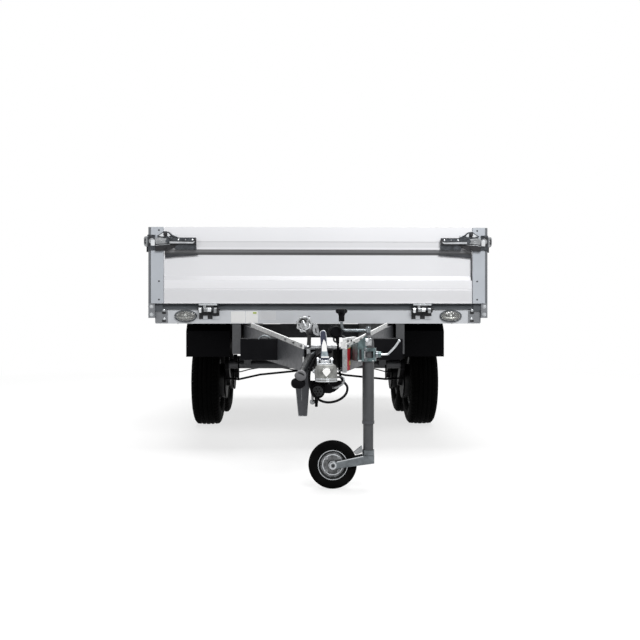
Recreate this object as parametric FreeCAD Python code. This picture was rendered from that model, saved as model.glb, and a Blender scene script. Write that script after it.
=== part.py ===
import FreeCAD, Part
import math
import os

# Tandem-axle drop-side trailer with a braked V drawbar. Millimetres, +Z up.
# The front faces -Y. While the pieces are made, Y is counted from the front
# board's outer face; save() moves them to the origin on the ground below the
# middle of the whole trailer.

V = FreeCAD.Vector

# Load bed
BED_LENGTH = 3100.0
BED_HALF_WIDTH = 900.0
BOARD_THICKNESS = 25.0
BOARD_BOTTOM = 783.0
BOARD_HEIGHT = 403.0
BOARD_RECESS = 9.0
BOARD_STEP = 1.5
BOARD_GAP = 5.0
FLOOR_TOP = 770.0
FLOOR_THICKNESS = 15.0
RAIL_BOTTOM = 676.0
RAIL_STEP = 746.0
RAIL_SETBACK = 34.0
RAIL_WALL = 20.0
RAIL_LEDGE = 46.0
LEDGE_THICKNESS = 10.0
POST_WIDTH = 80.0
POST_EDGE = 15.0
POST_EDGE_SET = 8.0
BRACKET_DROP = 77.0
BRACKET_PLATE = 64.0
BRACKET_WALL = 4.0
SEAL_THICKNESS = 17.0
SEAL_HEIGHT = 25.0

# Board hinges and latches
HINGE_OFFSET = 9.0
HINGE_HEIGHT = 752.0
HINGE_PIN_R = 4.0
HINGE_KNUCKLE_R = 8.0
HINGE_WIDTH = 107.0
HINGE_EAR = 26.0
HINGE_PLATE = 4.0
HINGE_PLAY = 0.08
HINGE_SIDE_PLAY = 0.6
END_HINGE_INSET = 249.0
END_HINGE_SHIFT = -16.0
LATCH_DROP = 76.0
LATCH_HALF = 51.0
LATCH_REACH = 30.0
STUD_R = 5.0
STUD_PLAY = 3.0
LATCH_LIFT = 5.0
STUD_REACH = 63.0
STRAP_WALL = 3.0

# Under the bed
MEMBER_COUNT = 6
MEMBER_FIRST = 300.0
MEMBER_PITCH = 500.0
MEMBER_WIDTH = 60.0
BEAM_OUTER = 460.0
BEAM_WIDTH = 45.0
BEAM_BOTTOM = 513.0
BEAM_WALL = 5.0
BEAM_FRONT = 40.0
BEAM_REAR = 2960.0
REAR_BAR_DEPTH = 40.0
REAR_BAR_BOTTOM = 543.0
REAR_BAR_TOP = 660.0
REAR_BAR_INSET = 46.0
REAR_LAMP_WIDTH = 220.0
REAR_LAMP_DEPTH = 32.0
LAMP_INSET = 159.0
LAMP_RISE = 40.0
LAMP_WIDTH = 118.0
LAMP_HEIGHT = 66.0

# Drawbar and coupling
BALL_Y = -1180.0
SHAFT_HEIGHT = 490.0
SHAFT_R = 25.0
ARM_FRONT = BALL_Y + 180.0
ARM_FRONT_X = 90.0
ARM_FRONT_BOTTOM = SHAFT_HEIGHT - 8.0
ARM_FRONT_HEIGHT = 101.0
ARM_FRONT_TOP = ARM_FRONT_BOTTOM + ARM_FRONT_HEIGHT
ARM_REAR = 170.0
ARM_OVERRUN = 16.4
ARM_REAR_BOTTOM = 521.0
ARM_WALL = 6.0
ARM_FLANGE = 30.0
HOUSING_R = 45.0
HOUSING_PLATE_INSET = 140.0
HOUSING_BOSS_LENGTH = 140.0
SUPPORT_DROP = 184.0
HOUSING_FRONT = BALL_Y + 170.0
HOUSING_REAR = BALL_Y + 480.0
NECK_LENGTH = 75.0
BALL_R = 25.0
BALL_PLAY = 0.3
HEAD_R = 44.0
HEAD_BOTTOM = SHAFT_HEIGHT - 36.0
HEAD_HEIGHT = 82.0
HEAD_TOP = HEAD_BOTTOM + HEAD_HEIGHT
BALL_HEIGHT = HEAD_BOTTOM + 20.0
HANDLE_HEIGHT = 122.0
LEVER_ROOT = 100.0
LEVER_REACH = 100.0
LEVER_DROP = 111.0

# Wheel chocks
CHOCK_START = 390.0
CHOCK_LENGTH = 180.0
CHOCK_WIDTH = 172.0
CHOCK_HEIGHT = 97.0

# Axles and wheels
WHEEL_R = 289.0
TYRE_WIDTH = 180.0
RIM_R = 165.0
TRACK_HALF = 705.0
FRONT_AXLE_Y = 1210.0
AXLE_SPACING = 740.0
ARM_TRAIL = 150.0
AXLE_TUBE_Z = 405.0
AXLE_TUBE_R = 26.0
AXLE_HALF = 560.0
STUB_R = 20.0
STUB_PLAY = 0.08
DRUM_R = 112.0
EQUALISER_DROP = 25.0
EQUALISER_AHEAD = 180.0
BRAKE_ROD_R = 5.0
BRAKE_CABLE_R = 4.0
FRONT_CABLE_R = 6.5
HANGER_R = 5.0
BOLT_COUNT = 5
BOLT_CIRCLE_R = 56.0
VENT_COUNT = 12
GUARD_INNER = 540.0
GUARD_OUTER = 812.0
GUARD_TOP = 672.0
GUARD_FLAP = 464.0
GUARD_WALL = 4.0
GUARD_ROOM = 70.0

# Jockey wheel
JOCKEY_X = ARM_FRONT_X + 90.0
JOCKEY_Y = ARM_FRONT
OUTER_TUBE_R = 24.0
INNER_TUBE_R = 21.0
INNER_TUBE_WALL = 3.0
TUBE_PLAY = 0.3
OUTER_TUBE_BOTTOM = 267.0
CAP_HEIGHT = 42.0
CRANK_REACH = 110.0
CRANK_RISE = 37.0
CLAMP_BOTTOM = ARM_FRONT_BOTTOM + 44.0
CLAMP_HEIGHT = 54.0
CLAMP_TOP = CLAMP_BOTTOM + CLAMP_HEIGHT
OUTER_TUBE_TOP = CLAMP_TOP + 20.0
INNER_TUBE_TOP = OUTER_TUBE_TOP - 120.0
CLAMP_R = 33.0
CLAMP_BAND = 13.0
JOCKEY_WHEEL_R = 100.0
JOCKEY_TYRE_WIDTH = 40.0
JOCKEY_RIM_R = 62.0
JOCKEY_TRAIL = 147.0
FORK_GAP = 28.0
FORK_WALL = 5.0
CROWN_BOTTOM = 128.0
CROWN_TOP = 160.0

# Electric cable, from the arms' front end and the shaft's height: its plug is parked
# behind the crank
PLUG_PLACE = (48.0, ARM_FRONT + 70.0, SHAFT_HEIGHT + 157.0)
PLUG_R = 25.0
SOCKET_AHEAD = 72.0
SOCKET_DROP = 75.0
CABLE_R = 5.0
CABLE_POINTS = [(22, 22, 76), (12, -18, 82), (-24, -56, 70), (-54, -78, 33), (-66, -85, -16),
                (-62, -87, -66), (-40, -89, -108), (0, -91, -128), (48, -89, -122),
                (84, -78, -98), (94, -45, -68), (82, 0, -54), (66, 40, -32), (62, 54, 13),
                (60, 54, 65), (56, 50, 116)]

# Reach of the whole trailer, from the front board's face
REACH_AHEAD = -BALL_Y + HEAD_R
REACH_BEHIND = BED_LENGTH + LATCH_REACH
MIDDLE = (REACH_BEHIND - REACH_AHEAD) / 2

BOARD_TOP = BOARD_BOTTOM + BOARD_HEIGHT
LATCH_HEIGHT = BOARD_TOP - LATCH_DROP
BEAM_INNER = BEAM_OUTER - BEAM_WIDTH
ARM_SPREAD = (BEAM_INNER + ARM_OVERRUN - ARM_FRONT_X) / (ARM_REAR - ARM_FRONT)
CABLE_ROUTE = [(x, ARM_FRONT + y, SHAFT_HEIGHT + z) for x, y, z in CABLE_POINTS]
RAIL_OUTER = BED_HALF_WIDTH - RAIL_SETBACK
RAIL_INNER = RAIL_OUTER - RAIL_WALL


def save(name, solids):
    """Write the solids of one sub-part, moved to the trailer's origin."""
    shape = solids[0] if len(solids) == 1 else Part.makeCompound(solids)
    shape = shape.copy()
    shape.translate(V(0, -MIDDLE, 0))
    if not shape.isValid():
        print("invalid", name)
    shape.exportStep("parts/" + name + ".step")


def box(x0, x1, y0, y1, z0, z1):
    """A block between two corners."""
    return Part.makeBox(x1 - x0, y1 - y0, z1 - z0, V(x0, y0, z0))


def rod(start, end, radius):
    """A round bar from one point to another."""
    a, b = V(*start), V(*end)
    return Part.makeCylinder(radius, (b - a).Length, a, b - a)


def bar(points, radius):
    """A bent round bar: straight runs with a ball at each bend."""
    pieces = [rod(a, b, radius) for a, b in zip(points, points[1:])]
    pieces += [Part.makeSphere(radius, V(*p)) for p in points[1:-1]]
    return join(pieces)


def prism(points, along):
    """A flat outline of 3-D points carried along a vector."""
    face = Part.Face(Part.makePolygon([V(*p) for p in points + points[:1]]))
    return face.extrude(V(*along))


def turned(profile, centre, axis):
    """A ring or disc: profile of (radius, height along the axis) pairs."""
    side = V(0, 0, 1) if abs(axis[2]) < 0.5 else V(1, 0, 0)
    points = [V(*centre) + side * r + V(*axis) * h for r, h in profile]
    face = Part.Face(Part.makePolygon(points + points[:1]))
    return face.revolve(V(*centre), V(*axis), 360)


def join(solids):
    """One solid from pieces that touch or overlap."""
    return solids[0].multiFuse(solids[1:]).removeSplitter()


def flipped(shape):
    """The same piece on the other side of the trailer's middle plane."""
    return shape.mirror(V(0, 0, 0), V(1, 0, 0))


def both(shape):
    """The piece and its mirror image."""
    return [shape, flipped(shape)]


def ahead_to_tail(shape):
    """The mirror image of a front piece at the tail end."""
    return shape.mirror(V(0, BED_LENGTH / 2, 0), V(0, 1, 0))


def corners(shape):
    """A corner piece at all four corners."""
    return both(shape) + both(ahead_to_tail(shape))


# Load bed

def board_outline():
    """Section of a drop side as (depth from the outer face, height)."""
    z, step = BOARD_BOTTOM, BOARD_STEP
    return [(0, z), (0, z + 70), (step, z + 74), (step, z + 123), (BOARD_RECESS, z + 145),
            (BOARD_RECESS, z + 256), (step, z + 285), (step, z + 324), (0, z + 328),
            (0, BOARD_TOP), (BOARD_THICKNESS, BOARD_TOP), (BOARD_THICKNESS, z)]


END_BOARD_HALF = BED_HALF_WIDTH - POST_WIDTH - BOARD_GAP
END_HINGE_X = END_BOARD_HALF - END_HINGE_INSET
SIDE_BOARD_START = POST_WIDTH + BOARD_GAP
SIDE_BOARD_LENGTH = BED_LENGTH - 2 * SIDE_BOARD_START


def front_board():
    points = [(-END_BOARD_HALF, t, z) for t, z in board_outline()]
    return prism(points, (2 * END_BOARD_HALF, 0, 0))


def right_board():
    points = [(BED_HALF_WIDTH - t, SIDE_BOARD_START, z) for t, z in board_outline()]
    return prism(points, (0, SIDE_BOARD_LENGTH, 0))


def rail_outline():
    """Section of a bed rail as (distance inward from its face, height)."""
    ledge = FLOOR_TOP - FLOOR_THICKNESS
    step = RAIL_WALL / 2
    return [(0, RAIL_BOTTOM), (0, RAIL_STEP), (step, RAIL_STEP), (step, FLOOR_TOP),
            (RAIL_WALL, FLOOR_TOP), (RAIL_WALL, RAIL_BOTTOM)], ledge


def side_rail():
    outline, ledge = rail_outline()
    start, end = RAIL_SETBACK, BED_LENGTH - RAIL_SETBACK
    wall = prism([(RAIL_OUTER - t, start, z) for t, z in outline], (0, end - start, 0))
    shelf = box(RAIL_INNER - RAIL_LEDGE, RAIL_INNER, start + RAIL_WALL,
                end - RAIL_WALL, ledge - LEDGE_THICKNESS, ledge)
    return join([wall, shelf])


def front_rail():
    outline, ledge = rail_outline()
    wall = prism([(-RAIL_INNER, RAIL_SETBACK + t, z) for t, z in outline],
                 (2 * RAIL_INNER, 0, 0))
    half = RAIL_INNER - RAIL_LEDGE
    back = RAIL_SETBACK + RAIL_WALL
    shelf = box(-half, half, back, back + RAIL_LEDGE, ledge - LEDGE_THICKNESS, ledge)
    return join([wall, shelf])


def load_floor():
    edge = RAIL_SETBACK + RAIL_WALL
    return box(-RAIL_INNER, RAIL_INNER, edge, BED_LENGTH - edge,
               FLOOR_TOP - FLOOR_THICKNESS, FLOOR_TOP)


def member_places():
    return [MEMBER_FIRST + i * MEMBER_PITCH for i in range(MEMBER_COUNT)]


def cross_member(y):
    ledge = FLOOR_TOP - FLOOR_THICKNESS
    low = ledge - LEDGE_THICKNESS
    half = RAIL_INNER - RAIL_LEDGE
    y0, y1 = y - MEMBER_WIDTH / 2, y + MEMBER_WIDTH / 2
    return join([box(-RAIL_INNER, RAIL_INNER, y0, y1, RAIL_BOTTOM, low),
                 box(-half, half, y0, y1, low, ledge)])


def main_beam():
    """C section: web inboard, flanges outboard, closed by a front plate."""
    inner = BEAM_INNER
    section = [(inner, BEAM_BOTTOM), (BEAM_OUTER, BEAM_BOTTOM),
               (BEAM_OUTER, BEAM_BOTTOM + BEAM_WALL), (inner + BEAM_WALL, BEAM_BOTTOM + BEAM_WALL),
               (inner + BEAM_WALL, RAIL_BOTTOM - BEAM_WALL), (BEAM_OUTER, RAIL_BOTTOM - BEAM_WALL),
               (BEAM_OUTER, RAIL_BOTTOM), (inner, RAIL_BOTTOM)]
    channel = prism([(x, BEAM_FRONT, z) for x, z in section], (0, BEAM_REAR - BEAM_FRONT, 0))
    cap = box(inner, BEAM_OUTER, BEAM_FRONT, BEAM_FRONT + BEAM_WALL, BEAM_BOTTOM, RAIL_BOTTOM)
    return join([channel, cap])


def corner_post():
    """L-shaped post, with a set-back edge at its outer corner."""
    inner, outer = BED_HALF_WIDTH - POST_WIDTH, BED_HALF_WIDTH
    outline = [(inner, 0), (outer - POST_EDGE, 0), (outer - POST_EDGE, POST_EDGE_SET),
               (outer, POST_EDGE_SET), (outer, POST_WIDTH),
               (outer - BOARD_THICKNESS, POST_WIDTH),
               (outer - BOARD_THICKNESS, BOARD_THICKNESS), (inner, BOARD_THICKNESS)]
    return prism([(x, y, BOARD_BOTTOM) for x, y in outline], (0, 0, BOARD_HEIGHT))


def corner_bracket():
    """Foot outside the side rail with a plate on the end rail's face."""
    foot = box(RAIL_OUTER, BED_HALF_WIDTH, POST_EDGE_SET, POST_WIDTH - BOARD_GAP,
               BOARD_BOTTOM - BRACKET_DROP, BOARD_BOTTOM)
    plate = box(RAIL_OUTER - BRACKET_PLATE, RAIL_OUTER + 2, RAIL_SETBACK - BRACKET_WALL,
                RAIL_SETBACK, RAIL_BOTTOM + BRACKET_WALL, RAIL_STEP - 2)
    return join([foot, plate])


def bed_seals():
    low = RAIL_STEP + 6
    face = RAIL_SETBACK + RAIL_WALL / 2
    half = RAIL_INNER
    front = box(-half, half, face - SEAL_THICKNESS, face, low, low + SEAL_HEIGHT)
    outer = BED_HALF_WIDTH - face
    side = box(outer, outer + SEAL_THICKNESS, POST_WIDTH, BED_LENGTH - POST_WIDTH,
               low, low + SEAL_HEIGHT)
    return [front, ahead_to_tail(front)] + both(side)


# Hinges. Each is made for the front board at x = 0, then placed.

def rail_hinge():
    """Plate on the rail, two ears with knuckles, and the pin through them."""
    half = HINGE_WIDTH / 2
    face = RAIL_SETBACK
    low, high = HINGE_HEIGHT - 17, HINGE_HEIGHT - 7
    solids = [box(-half, half, face - HINGE_PLATE, face, RAIL_STEP - 46, RAIL_STEP - 1),
              rod((-half - 8, -HINGE_OFFSET, HINGE_HEIGHT),
                  (half + 8, -HINGE_OFFSET, HINGE_HEIGHT), HINGE_PIN_R)]
    for x in (-half, half - HINGE_EAR):
        solids.append(box(x, x + HINGE_EAR, -HINGE_OFFSET - 4, face - 2, low, high))
        solids.append(rod((x, -HINGE_OFFSET, HINGE_HEIGHT),
                          (x + HINGE_EAR, -HINGE_OFFSET, HINGE_HEIGHT), HINGE_KNUCKLE_R))
    return join(solids)


def board_hinge():
    """Leaf under the board with one knuckle between the rail's ears."""
    half = HINGE_WIDTH / 2
    knuckle = half - HINGE_EAR - HINGE_SIDE_PLAY
    leaf = box(-half, half, -HINGE_OFFSET + 1, BOARD_THICKNESS - 3, BOARD_BOTTOM - 8, BOARD_BOTTOM)
    web = box(-knuckle, knuckle, -HINGE_OFFSET - 5, -HINGE_OFFSET + 5,
              HINGE_HEIGHT, BOARD_BOTTOM - 1)
    web = web.cut(box(-half, half, -99, -HINGE_OFFSET + 1, BOARD_BOTTOM - 1, BOARD_BOTTOM))
    tube = rod((-knuckle, -HINGE_OFFSET, HINGE_HEIGHT), (knuckle, -HINGE_OFFSET, HINGE_HEIGHT),
               HINGE_KNUCKLE_R)
    hole = rod((-half, -HINGE_OFFSET, HINGE_HEIGHT), (half, -HINGE_OFFSET, HINGE_HEIGHT),
               HINGE_PIN_R + HINGE_PLAY)
    return join([leaf, web, tube]).cut(hole)


def moved(shape, x, y):
    piece = shape.copy()
    piece.translate(V(x, y, 0))
    return piece


def side_turned(shape, y):
    """A front piece turned to the right side at distance y."""
    piece = shape.copy()
    piece.rotate(V(0, 0, 0), V(0, 0, 1), 90)
    piece.translate(V(BED_HALF_WIDTH, y, 0))
    return piece


def side_hinge_places():
    room = SIDE_BOARD_LENGTH / 2 - 320
    return [BED_LENGTH / 2 - room, BED_LENGTH / 2, BED_LENGTH / 2 + room]


def end_hinges(shape):
    """Both hinges have their pins put in from the same side, a little left of even."""
    return [moved(shape, END_HINGE_SHIFT + side * END_HINGE_X, 0) for side in (-1, 1)]


# Latches, made for the front board's right end.

def board_latch(board_end, reach):
    """Diamond plate on a spacer, lever, and a hook bar with an eye for the stud.

    board_end is the board's end, measured outward, and reach the distance
    from there to the stud on the post.
    """
    z, x, lift = LATCH_HEIGHT, board_end, LATCH_LIFT
    spacer = box(x - 64, x - 4, -lift, 0, z - 34, z + 34)
    tip = LATCH_HALF
    half = [(x - 74, z + 6), (x - 44, z + 30), (x - 20, z + tip - 3), (x - 12, z + tip),
            (x - 2, z + tip), (x + 6, z + tip - 4), (x + 38, z + 14)]
    outline = half + [(u, 2 * z - v) for u, v in reversed(half)]
    diamond = prism([(u, -lift, v) for u, v in outline], (0, -4, 0))
    bolts = [rod((x - 7, -lift - 9, z + k), (x - 7, -lift - 3, z + k), 6) for k in (-36, 36)]
    base = box(x - 170, x - 60, -14, 0, z - 45, z - 12)
    lever = box(x - 170, x - 20, -26, -11, z - 16, z + 17)
    groove = box(x - 171, x - 40, -27, -22, z - 6, z + 8)
    hook = box(x - 30, x + reach, -16, -9, z - 12, z + 12)
    eye = rod((x + reach, -16, z), (x + reach, -9, z), 14)
    slot = rod((x + reach, -30, z), (x + reach, 1, z), STUD_R + STUD_PLAY)
    pivot = rod((x - 22, -LATCH_REACH, z), (x - 22, 0, z), 11)
    return join([spacer, diamond, base, lever, hook, eye, pivot] + bolts).cut(slot).cut(groove)


def end_latch():
    return board_latch(END_BOARD_HALF, STUD_REACH)


def side_latch_front():
    """Latch at a side board's front end, on the right side."""
    piece = board_latch(0, STUD_REACH)
    piece.rotate(V(0, 0, 0), V(0, 0, 1), 90)
    piece = piece.mirror(V(0, 0, 0), V(0, 1, 0))
    piece.translate(V(BED_HALF_WIDTH, SIDE_BOARD_START, 0))
    return piece


def post_catch():
    """Strap round the post's outer corner with the two latch studs."""
    outer, wall = BED_HALF_WIDTH, STRAP_WALL
    low, high = LATCH_HEIGHT - 48, LATCH_HEIGHT + 34
    x = END_BOARD_HALF + STUD_REACH
    y = SIDE_BOARD_START - STUD_REACH
    front = box(outer - 38, outer - POST_EDGE, -wall, 0, low, high)
    step = box(outer - POST_EDGE, outer - POST_EDGE + wall, -wall, POST_EDGE_SET, low, high)
    shelf = box(outer - POST_EDGE, outer + wall, POST_EDGE_SET - wall, POST_EDGE_SET, low, high)
    side = box(outer, outer + wall, POST_EDGE_SET - wall, POST_EDGE_SET + 30, low, high)
    studs = [rod((x, -19, LATCH_HEIGHT), (x, 0, LATCH_HEIGHT), STUD_R),
             rod((outer, y, LATCH_HEIGHT), (outer + 19, y, LATCH_HEIGHT), STUD_R)]
    return join([front, step, shelf, side] + studs)


# Drawbar. The right arm is made and mirrored.

def arm_x(y):
    """Outer face of the right arm at distance y."""
    return ARM_FRONT_X + (y - ARM_FRONT) * ARM_SPREAD


def drawbar_arm():
    """Tapered channel: web outboard, flanges turned inboard."""
    start = V(arm_x(ARM_FRONT), ARM_FRONT, 0)
    end = V(arm_x(ARM_REAR), ARM_REAR, 0)
    run = end - start
    inward = V(-run.y, run.x, 0).normalize()

    def plate(z_pairs, width):
        (a0, a1), (b0, b1) = z_pairs
        points = [start + V(0, 0, a0), start + V(0, 0, a1), end + V(0, 0, b1), end + V(0, 0, b0)]
        face = Part.Face(Part.makePolygon(points + points[:1]))
        return face.extrude(inward * width)

    web = plate([(ARM_FRONT_BOTTOM, ARM_FRONT_TOP), (ARM_REAR_BOTTOM, RAIL_BOTTOM)], ARM_WALL)
    top = plate([(ARM_FRONT_TOP - ARM_WALL, ARM_FRONT_TOP), (RAIL_BOTTOM - ARM_WALL, RAIL_BOTTOM)],
                ARM_FLANGE)
    low = plate([(ARM_FRONT_BOTTOM, ARM_FRONT_BOTTOM + ARM_WALL),
                 (ARM_REAR_BOTTOM, ARM_REAR_BOTTOM + ARM_WALL)], ARM_FLANGE)
    past = box(BEAM_INNER, BEAM_INNER + 200, ARM_REAR - 700, ARM_REAR + 400,
               ARM_REAR_BOTTOM - 100, RAIL_BOTTOM + 100)
    return join([web, top, low]).cut(past)


def overrun_housing():
    """Round housing with two cross plates that reach both arms."""
    body = rod((0, HOUSING_FRONT, SHAFT_HEIGHT), (0, HOUSING_REAR, SHAFT_HEIGHT), HOUSING_R)
    plates = []
    for y in (ARM_FRONT + HOUSING_PLATE_INSET, HOUSING_REAR - 60):
        inner = arm_x(y) - ARM_WALL * math.hypot(1, ARM_SPREAD)
        plates.append(box(-inner, inner, y, y + 8, SHAFT_HEIGHT + 2, ARM_FRONT_TOP - 8))
    start = ARM_FRONT + 30
    boss = box(-36, 36, start, start + HOUSING_BOSS_LENGTH, SHAFT_HEIGHT, ARM_FRONT_TOP)
    return join([body, boss] + plates).cut(drawbar_arm()).cut(flipped(drawbar_arm()))


def cross_plate():
    """Flat plate across the two arms, behind the gland."""
    y0, y1 = ARM_FRONT + 75, ARM_FRONT + HOUSING_PLATE_INSET
    low = ARM_FRONT_TOP - 12
    points = [(-arm_x(y0), y0, low), (arm_x(y0), y0, low), (arm_x(y1), y1, low),
              (-arm_x(y1), y1, low)]
    plate = prism(points, (0, 0, 8)).cut(overrun_housing())
    plate = plate.cut(drawbar_arm()).cut(flipped(drawbar_arm()))
    return sorted(plate.Solids, key=lambda solid: solid.CenterOfMass.x)


def coupling_bellows():
    """Rubber bellows: a row of round folds."""
    back, front = HOUSING_FRONT, BALL_Y + NECK_LENGTH + 5
    folds = 6
    pitch = (back - front) / folds
    profile = [(SHAFT_R, 0.0)]
    for i in range(folds):
        profile += [(30.0, i * pitch), (38.0, (i + 0.5) * pitch)]
    profile += [(30.0, back - front), (SHAFT_R, back - front)]
    return turned(profile, (0, front, SHAFT_HEIGHT), (0, 1, 0))


def coupling_head():
    """Cast cup with a ball socket, a neck and a shaft into the housing."""
    cup = turned([(0, HEAD_BOTTOM), (HEAD_R - 6, HEAD_BOTTOM), (HEAD_R, HEAD_BOTTOM + 6),
                  (HEAD_R, HEAD_BOTTOM + 28), (HEAD_R - 7, HEAD_TOP - 30),
                  (HEAD_R - 13, HEAD_TOP - 12), (0, HEAD_TOP - 12)], (0, BALL_Y, 0), (0, 0, 1))
    end = BALL_Y + NECK_LENGTH
    neck = box(-26, 26, BALL_Y, end, SHAFT_HEIGHT - 22, SHAFT_HEIGHT + 30)
    shaft = rod((0, end - 5, SHAFT_HEIGHT), (0, HOUSING_FRONT, SHAFT_HEIGHT), SHAFT_R)
    ears = [box(side * 26 - 4, side * 26 + 4, BALL_Y + 16, BALL_Y + 62, HEAD_TOP - 20, HEAD_TOP + 20)
            for side in (-1, 1)]
    socket_r = BALL_R + BALL_PLAY
    mouth = rod((0, BALL_Y, HEAD_BOTTOM - 1), (0, BALL_Y, BALL_HEIGHT), socket_r)
    ball = Part.makeSphere(socket_r, V(0, BALL_Y, BALL_HEIGHT))
    return join([cup, neck, shaft] + ears).cut(mouth).cut(ball)


def coupling_handle():
    """Tapered lever over the head, between two lugs."""
    y = BALL_Y + 34
    base = HEAD_TOP - 16
    top = HEAD_TOP + HANDLE_HEIGHT
    lever = prism([(-21.7, y, base), (21.7, y, base), (21.7, y, base + 34), (9, y, base + 52),
                   (3, y, top - 6), (-2, y, top), (-17, y, top), (-22, y, top - 6),
                   (-18, y, base + 52), (-21.7, y, base + 34)], (0, 22, 0))
    head = coupling_head()
    return lever.cut(head)


def handbrake_lever():
    """Lever from the housing forward and down, with its grip and end cap."""
    root = (-30, ARM_FRONT + LEVER_ROOT, ARM_FRONT_TOP - 24)
    mid = (-62, ARM_FRONT - 10, ARM_FRONT_TOP - 38)
    tip = (-100, ARM_FRONT - LEVER_REACH, ARM_FRONT_TOP - LEVER_DROP)
    end = V(*tip) + (V(*tip) - V(*mid)).normalize() * 14
    return [join([rod(root, mid, 11), Part.makeSphere(16, V(*mid)), rod(mid, tip, 16),
                  rod(tip, (end.x, end.y, end.z), 24)]).cut(overrun_housing())]


# Axles and wheels

def axle_places():
    return [FRONT_AXLE_Y, FRONT_AXLE_Y + AXLE_SPACING]


def axle_beam(wheel_y):
    """Axle tube with a pad under each main beam."""
    y = wheel_y - ARM_TRAIL
    tube = rod((-AXLE_HALF, y, AXLE_TUBE_Z), (AXLE_HALF, y, AXLE_TUBE_Z), AXLE_TUBE_R)
    pad = box(BEAM_INNER, BEAM_OUTER, y - 60, y + 60, AXLE_TUBE_Z, BEAM_BOTTOM)
    return join([tube] + both(pad))


def swing_arm(wheel_y):
    """Trailing arm, stub axle and brake back plate, right side."""
    y = wheel_y - ARM_TRAIL
    x = AXLE_HALF
    hub = rod((x, y, AXLE_TUBE_Z), (x + 26, y, AXLE_TUBE_Z), 36)
    eye = rod((x, wheel_y, WHEEL_R), (x + 26, wheel_y, WHEEL_R), 34)
    slope = V(0, wheel_y - y, WHEEL_R - AXLE_TUBE_Z).normalize()
    side = V(0, -slope.z, slope.y) * 30
    a, b = V(x, y, AXLE_TUBE_Z), V(x, wheel_y, WHEEL_R)
    points = [a + side, b + side, b - side, a - side]
    web = Part.Face(Part.makePolygon(points + points[:1])).extrude(V(26, 0, 0))
    stub = rod((x + 10, wheel_y, WHEEL_R), (x + 150, wheel_y, WHEEL_R), STUB_R)
    plate = rod((x + 26, wheel_y, WHEEL_R), (x + 34, wheel_y, WHEEL_R), DRUM_R + 4)
    return join([hub, eye, web, stub, plate])


def tyre(wheel_y):
    """Tyre, right side: bead, sidewall, shoulder and crown."""
    half = TYRE_WIDTH / 2
    bead = RIM_R
    profile = [(bead, -51), (bead + 14, -60), (bead + 45, -half), (WHEEL_R - 42, -half + 2),
               (WHEEL_R - 14, -half + 12), (WHEEL_R - 3, -half + 30), (WHEEL_R, 0),
               (WHEEL_R - 3, half - 30), (WHEEL_R - 14, half - 12), (WHEEL_R - 42, half - 2),
               (bead + 45, half), (bead + 14, 60), (bead, 51)]
    return turned(profile, (TRACK_HALF, wheel_y, WHEEL_R), (1, 0, 0))


def rim(wheel_y):
    """Steel rim with its disc, brake drum and hub, right side."""
    r = RIM_R
    barrel = turned([(r + 11, -66), (r + 11, -61), (r, -52), (r, -40), (r - 18, -28), (r - 18, 14),
                     (r, 26), (r, 52), (r + 11, 61), (r + 11, 66), (r - 4, 58), (r - 4, 30),
                     (r - 23, 20), (r - 23, -30), (r - 4, -44), (r - 4, -58)],
                    (TRACK_HALF, wheel_y, WHEEL_R), (1, 0, 0))
    disc = turned([(0, 34), (0, 30), (70, 30), (90, 40), (112, 40), (r - 20, 20), (r - 20, 12),
                   (110, 34), (92, 34), (72, 24), (0, 24)],
                  (TRACK_HALF, wheel_y, WHEEL_R), (1, 0, 0))
    drum_start = AXLE_HALF + 38 - TRACK_HALF
    drum = turned([(DRUM_R, drum_start), (DRUM_R, -20), (60, 4), (45, 28), (STUB_R + 12, 28),
                   (STUB_R + 12, 50), (24, 62), (0, 62), (0, 20), (STUB_R + STUB_PLAY, 20),
                   (STUB_R + STUB_PLAY, -40), (40, -40), (DRUM_R - 8, -40),
                   (DRUM_R - 8, drum_start)],
                  (TRACK_HALF, wheel_y, WHEEL_R), (1, 0, 0))
    centre = V(TRACK_HALF, wheel_y, WHEEL_R)
    bolts, vents = [], []
    for i in range(BOLT_COUNT):
        angle = 2 * math.pi * i / BOLT_COUNT
        out = V(0, math.sin(angle), math.cos(angle))
        bolts.append(Part.makeCylinder(9, 16, centre + out * BOLT_CIRCLE_R + V(24, 0, 0), V(1, 0, 0)))
    for i in range(VENT_COUNT):
        angle = 2 * math.pi * (i + 0.5) / VENT_COUNT
        out = V(0, math.sin(angle), math.cos(angle))
        vents.append(Part.makeCylinder(10, 60, centre + out * 124 + V(-10, 0, 0), V(1, 0, 0)))
    wheel = join([barrel, disc] + bolts)
    for vent in vents:
        wheel = wheel.cut(vent)
    return join([wheel, drum])


def mudguard():
    """Sheet guard over both wheels of the right side, with flaps."""
    y0 = FRONT_AXLE_Y - WHEEL_R - GUARD_ROOM
    y1 = FRONT_AXLE_Y + AXLE_SPACING + WHEEL_R + GUARD_ROOM
    top, wall, slope = GUARD_TOP, GUARD_WALL, 46
    outer = [(y0, GUARD_FLAP), (y0, top - slope), (y0 + slope, top), (y1 - slope, top),
             (y1, top - slope), (y1, GUARD_FLAP)]
    inner = [(y1 - wall, GUARD_FLAP), (y1 - wall, top - slope - 2), (y1 - slope - 2, top - wall),
             (y0 + slope + 2, top - wall), (y0 + wall, top - slope - 2), (y0 + wall, GUARD_FLAP)]
    sheet = prism([(GUARD_INNER, y, z) for y, z in outer + inner],
                  (GUARD_OUTER - GUARD_INNER, 0, 0))
    skirt = box(GUARD_OUTER - wall, GUARD_OUTER, y0 + slope, y1 - slope, top - 40, top - 1)
    stays = [box(GUARD_INNER + 110, GUARD_INNER + 160, y - 15, y + 15, top - 1, RAIL_BOTTOM)
             for y in member_places() if y0 + slope + 15 < y < y1 - slope - 15]
    return join([sheet, skirt] + stays)


# Lamps and rear bar

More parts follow.
